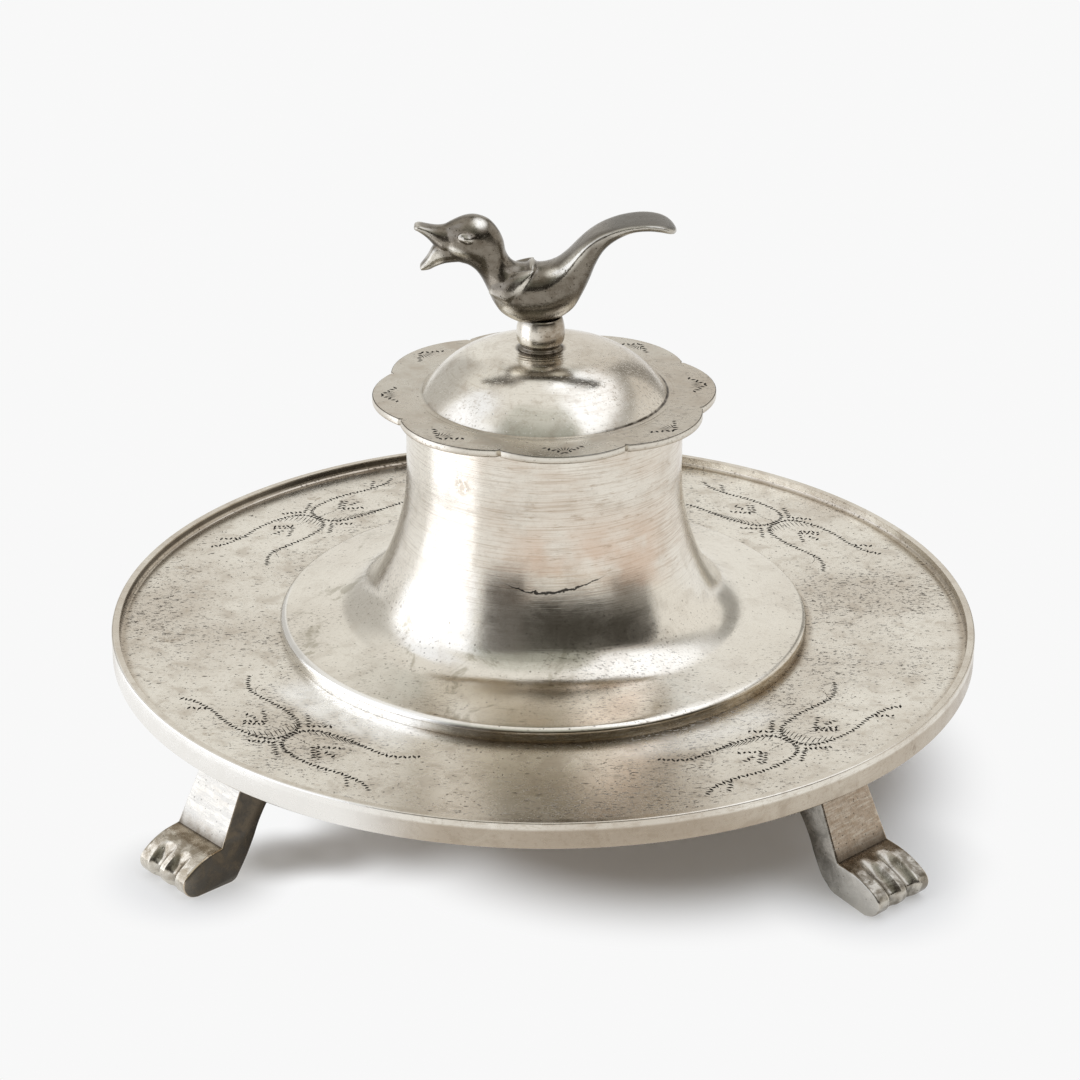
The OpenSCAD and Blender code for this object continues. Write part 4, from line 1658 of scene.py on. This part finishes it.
def make_stem(metal):
    size = settings().finial
    low, top = stem_low.z, stem_high.z
    line = smooth_line(
        [
            (size.barrel - 0.35 * MM, low),
            (size.barrel - 0.3 * MM, low + 0.35 * MM),
            (size.barrel - 0.75 * MM, low + 0.75 * MM),
            (size.barrel - 0.8 * MM, low + 1.1 * MM),
            (size.barrel - 0.2 * MM, low + 2.1 * MM),
            (size.barrel, low + 3.7 * MM),
            (size.barrel - 0.12 * MM, low + 5.4 * MM),
            (size.barrel - 0.5 * MM, top - 0.5 * MM),
            (size.barrel - 0.8 * MM, top),
        ],
        5,
    )
    outline = [(size.bore, low)] + line + [(size.bore, top)]
    stem = turned("finial_barrel", outline, 128, centre=STEM_X)
    return assemble(stem, "lid", "pewter", metal, "finial_stem")


# The bird from the front of its head round the neck and body to the tip of its tail, as
# (top x, top z, bottom x, bottom z, width, flatness) in mm from the stem's axis and the desk
BIRD_BODY = [
    (-21.6, 124.5, -21.0, 117.4, 6.6, 0), (-19.4, 125.7, -19.2, 116.6, 8.8, 0),
    (-16.9, 126.7, -17.6, 116.0, 10.2, 0), (-14.4, 126.9, -16.2, 115.6, 10.6, 0),
    (-11.6, 125.9, -14.8, 114.6, 10.0, 0), (-9.5, 123.6, -13.8, 113.4, 8.8, 0),
    (-8.3, 121.0, -12.8, 111.7, 8.2, 0), (-7.8, 118.5, -11.7, 109.4, 8.8, 0),
    (-6.6, 116.5, -10.5, 106.8, 10.8, 0), (-4.9, 115.6, -8.4, 104.2, 12.8, 0.05),
    (-2.2, 115.6, -4.6, 102.3, 13.9, 0.15), (0.9, 115.7, -0.2, 101.9, 13.8, 0.2),
    (3.6, 116.6, 3.9, 103.2, 12.9, 0.3), (5.9, 118.3, 7.2, 105.6, 12.0, 0.45),
    (8.0, 120.3, 9.2, 109.0, 11.2, 0.6), (10.2, 122.2, 10.8, 112.6, 10.8, 0.7),
    (12.6, 123.8, 12.2, 116.4, 10.8, 0.7), (15.1, 124.9, 14.0, 119.7, 11.0, 0.7),
    (17.8, 125.7, 16.8, 122.2, 11.2, 0.7), (20.8, 126.2, 20.1, 123.8, 11.2, 0.7),
    (23.9, 126.3, 23.4, 124.2, 11.0, 0.7), (26.6, 125.9, 26.2, 123.9, 10.2, 0.7),
    (28.4, 125.2, 28.1, 123.4, 8.6, 0.5), (29.4, 124.5, 29.2, 123.2, 6.0, 0.3),
    (29.9, 124.0, 29.8, 123.3, 2.4, 0),
]
UPPER_BILL = [
    (-17.6, 125.4, -19.5, 118.4, 8.6, 0), (-20.4, 124.9, -21.9, 118.0, 7.4, 0),
    (-22.6, 124.4, -23.6, 119.8, 6.0, 0.1), (-25.2, 124.5, -25.2, 121.7, 5.0, 0.4),
    (-27.2, 124.8, -27.0, 123.1, 4.4, 0.6), (-28.1, 124.6, -28.05, 123.5, 3.2, 0.3),
]
LOWER_BILL = [
    (-18.4, 121.4, -18.2, 116.2, 7.6, 0), (-21.4, 121.5, -21.1, 115.8, 6.4, 0.1),
    (-23.6, 120.2, -23.3, 115.0, 5.2, 0.4), (-25.2, 117.4, -24.9, 114.2, 4.4, 0.4),
    (-26.9, 115.2, -26.6, 114.0, 3.2, 0.2),
]
# One wing as rows of (edge x, y, z, root x, y, z, thickness)
WING = [
    (-7.2, 6.0, 108.4, -11.5, 3.4, 109.6, 1.4), (-5.8, 6.4, 109.9, -11.6, 3.2, 110.6, 2.4),
    (-4.4, 6.3, 111.6, -11.2, 3.0, 111.8, 2.8), (-3.0, 5.8, 113.3, -10.2, 2.8, 112.8, 2.8),
    (-1.9, 5.1, 114.8, -9.0, 2.6, 113.6, 2.4), (-1.2, 4.3, 115.6, -7.5, 2.4, 114.2, 1.6),
]


def wing_sections(flip):
    sections = []
    for row in spline(WING, 4):
        edge = Vector((row[0], flip * row[1], row[2])) * MM
        root = Vector((row[3], flip * row[4], row[5])) * MM
        across = Vector((0, flip, 0.35)).normalized() * row[6] * MM / 2
        sections.append(((edge + root) / 2, (edge - root) / 2, (root - edge) / 2, across, 0))
    return sections


def add_ball(bm, centre, radii, tilt=0.0):
    """Adds a ball with three radii in mm, tipped forwards by tilt degrees."""
    made = bmesh.ops.create_uvsphere(bm, u_segments=24, v_segments=16, radius=MM)
    place = Matrix.Translation(Vector(centre) * MM)
    if tilt:
        place @= Matrix.Rotation(math.radians(tilt), 4, "Y")
    bmesh.ops.transform(bm, matrix=place @ Matrix.Diagonal((*radii, 1)), verts=made["verts"])


def make_bird(material):
    size = settings().finial
    bm = bmesh.new()
    for pairs in (BIRD_BODY, UPPER_BILL, LOWER_BILL):
        lofted(bm, paired(pairs), 48)
    for flip in (1, -1):
        lofted(bm, wing_sections(flip), 24)
        # an almond-shaped eye that stands in a low lid
        add_ball(bm, (-16.2, flip * 4.75, 122.9), (2.2, 0.8, 1.3), 16)
        add_ball(bm, (-16.2, flip * 5.05, 122.9), (1.4, 0.95, 0.8), 16)
    # the ridge between the wings
    add_ball(bm, (-2.0, 0, 114.9), (1.3, 4.4, 1.3))
    bmesh.ops.translate(bm, verts=bm.verts, vec=(STEM_X, 0, 0))
    bird = new_piece("cast_bird", bm)
    remesh = bird.modifiers.new("Casting", "REMESH")
    remesh.mode = "VOXEL"
    remesh.voxel_size = size.grain
    smooth = bird.modifiers.new("Fettling", "SMOOTH")
    smooth.factor, smooth.iterations = 0.5, 6
    apply_modifiers(bird)
    shade(bird, 180)
    add_wear(bird, 14, 0.1)
    return assemble(bird, "lid", "dark_pewter", material, "bird")


def finish_solids():
    """Gives the solids that stay as they are their finish."""
    seat, metal = seat_pewter(), steel()
    for node in ("liner_seat", "finial_stud", "finial_washer", "finial_nut"):
        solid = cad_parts[node]
        solid.data.materials.clear()
        solid.data.materials.append(seat if node == "liner_seat" else metal)


# ---- Stage ------------------------------------------------------------------------------


def make_camera():
    size = settings().stage
    data = bpy.data.cameras.new("view")
    data.lens, data.sensor_width = size.lens, 36
    data.clip_start, data.clip_end = 0.01, 100
    camera = placed("view", data)
    sin, cos = math.sin(size.tilt), math.cos(size.tilt)
    right = Vector((math.cos(size.roll), sin * math.sin(size.roll), cos * math.sin(size.roll)))
    up = Vector((-math.sin(size.roll), sin * math.cos(size.roll), cos * math.cos(size.roll)))
    back = Vector((0, -cos, sin))
    place = Vector((size.aim_x, 0, size.aim_z)) + back * size.distance
    turn = Matrix((right, up, back)).transposed().to_4x4()
    camera.matrix_world = Matrix.Translation(place) @ turn
    bpy.context.scene.camera = camera


PLAIN_WHITE = (0.9, 0.9, 0.9, 1)
FLOOR_R = 12
SWEEP_GLOW = 0.94

# Where the floor keeps its own shadow: middle x, y, inner and outer radius in mm, and how much
# of the white sweep shows in the middle
FLOOR_SHADE = [
    (27, -20, 48, 80, 0.0),
    (0, 24, 55, 88, 0.0),
    (-57, -62, 3, 14, 0.2),
    (-46, -60, 3, 14, 0.2),
    (-31, -51, 6, 26, 0.1),
    (-76, -71, 8, 24, 0.45),
    (71, -76, 8, 26, 0.4),
    (78, -62, 6, 24, 0.5),
]


def make_floor():
    size = settings().stage
    bm = bmesh.new()
    bmesh.ops.create_circle(bm, cap_ends=True, radius=FLOOR_R, segments=96)
    floor = new_piece("floor", bm)
    paper = Finish("paper")
    place = paper.node("ShaderNodeTexCoord").outputs["Object"]
    grain = paper.times(paper.noise(place, 9.0, 2.0), 0.02)
    tone = paper.mix(grain, opaque(size.floor), PLAIN_WHITE)
    paper.set_shader({"Base Color": tone, "Roughness": 0.75})
    away = 1.0
    for x, y, low, high, least in FLOOR_SHADE:
        off = paper.vector("SUBTRACT", place, (x * MM, y * MM, 0.0))
        lit = paper.between(paper.vector("LENGTH", off), low * MM, high * MM, least, 1.0)
        away = paper.times(away, lit)
    seen = paper.node("ShaderNodeLightPath").outputs
    straight = paper.math("MAXIMUM", seen["Is Glossy Ray"], seen["Is Transmission Ray"])
    straight = paper.math("MAXIMUM", straight, seen["Is Camera Ray"])
    glow = paper.node("ShaderNodeEmission", {"Strength": SWEEP_GLOW})
    lit = enumerate((paper.times(away, straight), paper.shader.outputs[0], glow.outputs[0]))
    both = paper.node("ShaderNodeMixShader", lit)
    end = next(n for n in paper.tree.nodes if n.type == "OUTPUT_MATERIAL")
    paper.feed(end.inputs["Surface"], both.outputs[0])
    floor.data.materials.append(paper.material)


# The studio round the piece, in degrees from the front towards the right and up: middle
# bearing, half width, lowest and highest, softness, then its light as a colour
STUDIO_WALLS = (0.9, 0.89, 0.865, 1.0)
STUDIO = [
    (-140, 18, -90, 36, 8, (0.58, 0.57, 0.55)),  # left wall
    (0, 181, 60, 91, 10, (0.9, 0.89, 0.87)),  # ceiling
    (-8, 44, 30, 60, 8, (0.4, 0.41, 0.37)),  # front
    (-8, 50, 62, 74, 8, (0.62, 0.63, 0.59)),  # front top
    (180, 9, 38, 60, 4, (0.42, 0.43, 0.39)),  # back top
    (27, 57, 9.5, 36, 4, (0.062, 0.057, 0.049)),  # dark side
    (68, 15, 2, 12, 5, (0.22, 0.205, 0.185)),  # dark low
    (-29, 13, 0, 40, 5, (0.14, 0.13, 0.12)),  # dark corner
    (66, 20, 34, 43, 3, (0.5, 0.47, 0.44)),  # right gap
    (113, 29, -90, 31, 4, (0.9, 0.88, 0.85)),  # right side
    (113, 29, 31, 43, 4, (0.5, 0.49, 0.47)),  # right top
    (151, 6, -12, 38, 3, (0.36, 0.35, 0.33)),  # right edge
    (110, 60, 43, 77, 8, (1.46, 1.52, 1.65)),  # right softbox
    (-82, 28, -4, 44, 6, (1.36, 1.42, 1.56)),  # left softbox
    (-98, 17, 42, 60, 7, (1.12, 1.17, 1.28)),  # left top
]


def make_world():
    """A plain studio: pale walls, two softboxes, and a dark side behind the viewer."""
    world = bpy.data.worlds.new("studio")
    world.use_nodes = True
    graph = Graph(world.node_tree)
    graph.tree.nodes.clear()
    x, y, z = graph.split(graph.node("ShaderNodeTexCoord").outputs["Generated"])
    bearing = graph.bearing(x, y)
    height = graph.math("DEGREES", graph.math("ARCSINE", z))
    light = STUDIO_WALLS
    for centre, half, low, high, soft, rgb in STUDIO:
        mask = graph.between(height, low - soft, low + soft)
        mask = graph.times(mask, graph.between(height, high + soft, high - soft))
        if half < 180:
            mask = graph.times(mask, graph.window(bearing, centre, half, soft))
        light = graph.mix(mask, light, opaque(rgb))
    seen = graph.node("ShaderNodeLightPath").outputs["Is Camera Ray"]
    white = graph.mix(seen, light, (1.0, 1.0, 1.0, 1.0))
    sky = graph.node("ShaderNodeBackground", {"Color": white, "Strength": 1.0})
    graph.node("ShaderNodeOutputWorld", {0: sky.outputs[0]})
    bpy.context.scene.world = world


# The white board: its bearings in degrees from the front, its distance and its heights in m
BOARD_START, BOARD_TURN, BOARD_STEPS = -98, 46, 16
BOARD_AWAY, BOARD_HEIGHTS = 0.17, (0.001, 0.11)


def make_bounce():
    """A white board low on the left, seen only in the metal."""
    bm = bmesh.new()
    rows = []
    for i in range(BOARD_STEPS + 1):
        turn = math.radians(BOARD_START + BOARD_TURN * i / BOARD_STEPS)
        place = Vector((math.sin(turn), -math.cos(turn), 0)) * BOARD_AWAY
        rows.append([bm.verts.new(place + Vector((0, 0, h))) for h in BOARD_HEIGHTS])
    for row, other in zip(rows, rows[1:]):
        bm.faces.new((row[0], other[0], other[1], row[1]))
    board = new_piece("bounce_board", bm)
    white = Finish("white_board")
    white.set_shader(
        {
            "Base Color": PLAIN_WHITE,
            "Emission Color": (0.96, 1.0, 1.09, 1),
            "Emission Strength": 1.2,
        }
    )
    board.data.materials.append(white.material)
    board.visible_camera = board.visible_shadow = board.visible_diffuse = False
    board.visible_transmission = board.visible_volume_scatter = False


# ---- Operators --------------------------------------------------------------------------


class INKSTAND_OT_tray(Operator):
    """Make the engraved tray"""

    bl_idname = "inkstand.tray"
    bl_label = "Tray"

    def execute(self, context):
        make_tray(cut_pewter())
        return {"FINISHED"}


class INKSTAND_OT_feet(Operator):
    """Make the four paw feet"""

    bl_idname = "inkstand.feet"
    bl_label = "Feet"

    def execute(self, context):
        turn = settings().feet.turn
        material = foot_pewter()
        for place, degrees, shape in FEET:
            bearing = math.radians(degrees) + turn
            make_foot(f"paw_{place}", f"foot_{place}", bearing, shape, material)
        return {"FINISHED"}


class INKSTAND_OT_well(Operator):
    """Make the trumpet-shaped well"""

    bl_idname = "inkstand.well"
    bl_label = "Well"

    def execute(self, context):
        make_well()
        return {"FINISHED"}


class INKSTAND_OT_liner(Operator):
    """Make the glass liner"""

    bl_idname = "inkstand.liner"
    bl_label = "Glass liner"

    def execute(self, context):
        make_liner()
        return {"FINISHED"}


class INKSTAND_OT_lid(Operator):
    """Make the lid's scalloped plate, dome and centring ring"""

    bl_idname = "inkstand.lid"
    bl_label = "Lid"

    def execute(self, context):
        cut = bpy.data.materials.get("cut_pewter") or cut_pewter()
        metal = lid_pewter()
        make_lid_plate(plate_pewter(), cut)
        make_dome(metal)
        make_collar(metal)
        return {"FINISHED"}


class INKSTAND_OT_finial(Operator):
    """Make the turned stem and the bird that stands on it"""

    bl_idname = "inkstand.finial"
    bl_label = "Finial"

    def execute(self, context):
        make_stem(stem_pewter())
        make_bird(bird_pewter())
        return {"FINISHED"}


class INKSTAND_OT_solids(Operator):
    """Finish the small solids inside the well and the lid"""

    bl_idname = "inkstand.solids"
    bl_label = "Seat and fixings"

    def execute(self, context):
        finish_solids()
        return {"FINISHED"}


class INKSTAND_OT_stage(Operator):
    """Make the camera, floor, white board and studio"""

    bl_idname = "inkstand.stage"
    bl_label = "Stage"

    def execute(self, context):
        make_camera()
        make_floor()
        make_bounce()
        make_world()
        bpy.context.scene.view_settings.view_transform = "Standard"
        return {"FINISHED"}


OPERATORS = (
    INKSTAND_OT_stage,
    INKSTAND_OT_tray,
    INKSTAND_OT_feet,
    INKSTAND_OT_well,
    INKSTAND_OT_liner,
    INKSTAND_OT_lid,
    INKSTAND_OT_finial,
    INKSTAND_OT_solids,
)


class INKSTAND_PT_panel(Panel):
    bl_label = "Desk Inkstand"
    bl_idname = "INKSTAND_PT_panel"
    bl_space_type = "VIEW_3D"
    bl_region_type = "UI"
    bl_category = "Inkstand"

    def draw(self, context):
        for operator in OPERATORS:
            self.layout.operator(operator.bl_idname)
        for name in GROUPS:
            group = getattr(context.scene.inkstand, name)
            box = self.layout.box()
            for key in type(group).__annotations__:
                box.prop(group, key)


CLASSES = (*GROUPS.values(), InkstandSettings, *OPERATORS, INKSTAND_PT_panel)


def register():
    for kind in CLASSES:
        bpy.utils.register_class(kind)
    bpy.types.Scene.inkstand = PointerProperty(type=InkstandSettings)


def unregister():
    del bpy.types.Scene.inkstand
    for kind in reversed(CLASSES):
        bpy.utils.unregister_class(kind)


def main():
    register()
    for operator in OPERATORS:
        group, name = operator.bl_idname.split(".")
        getattr(getattr(bpy.ops, group), name)()


if __name__ == "__main__":
    main()
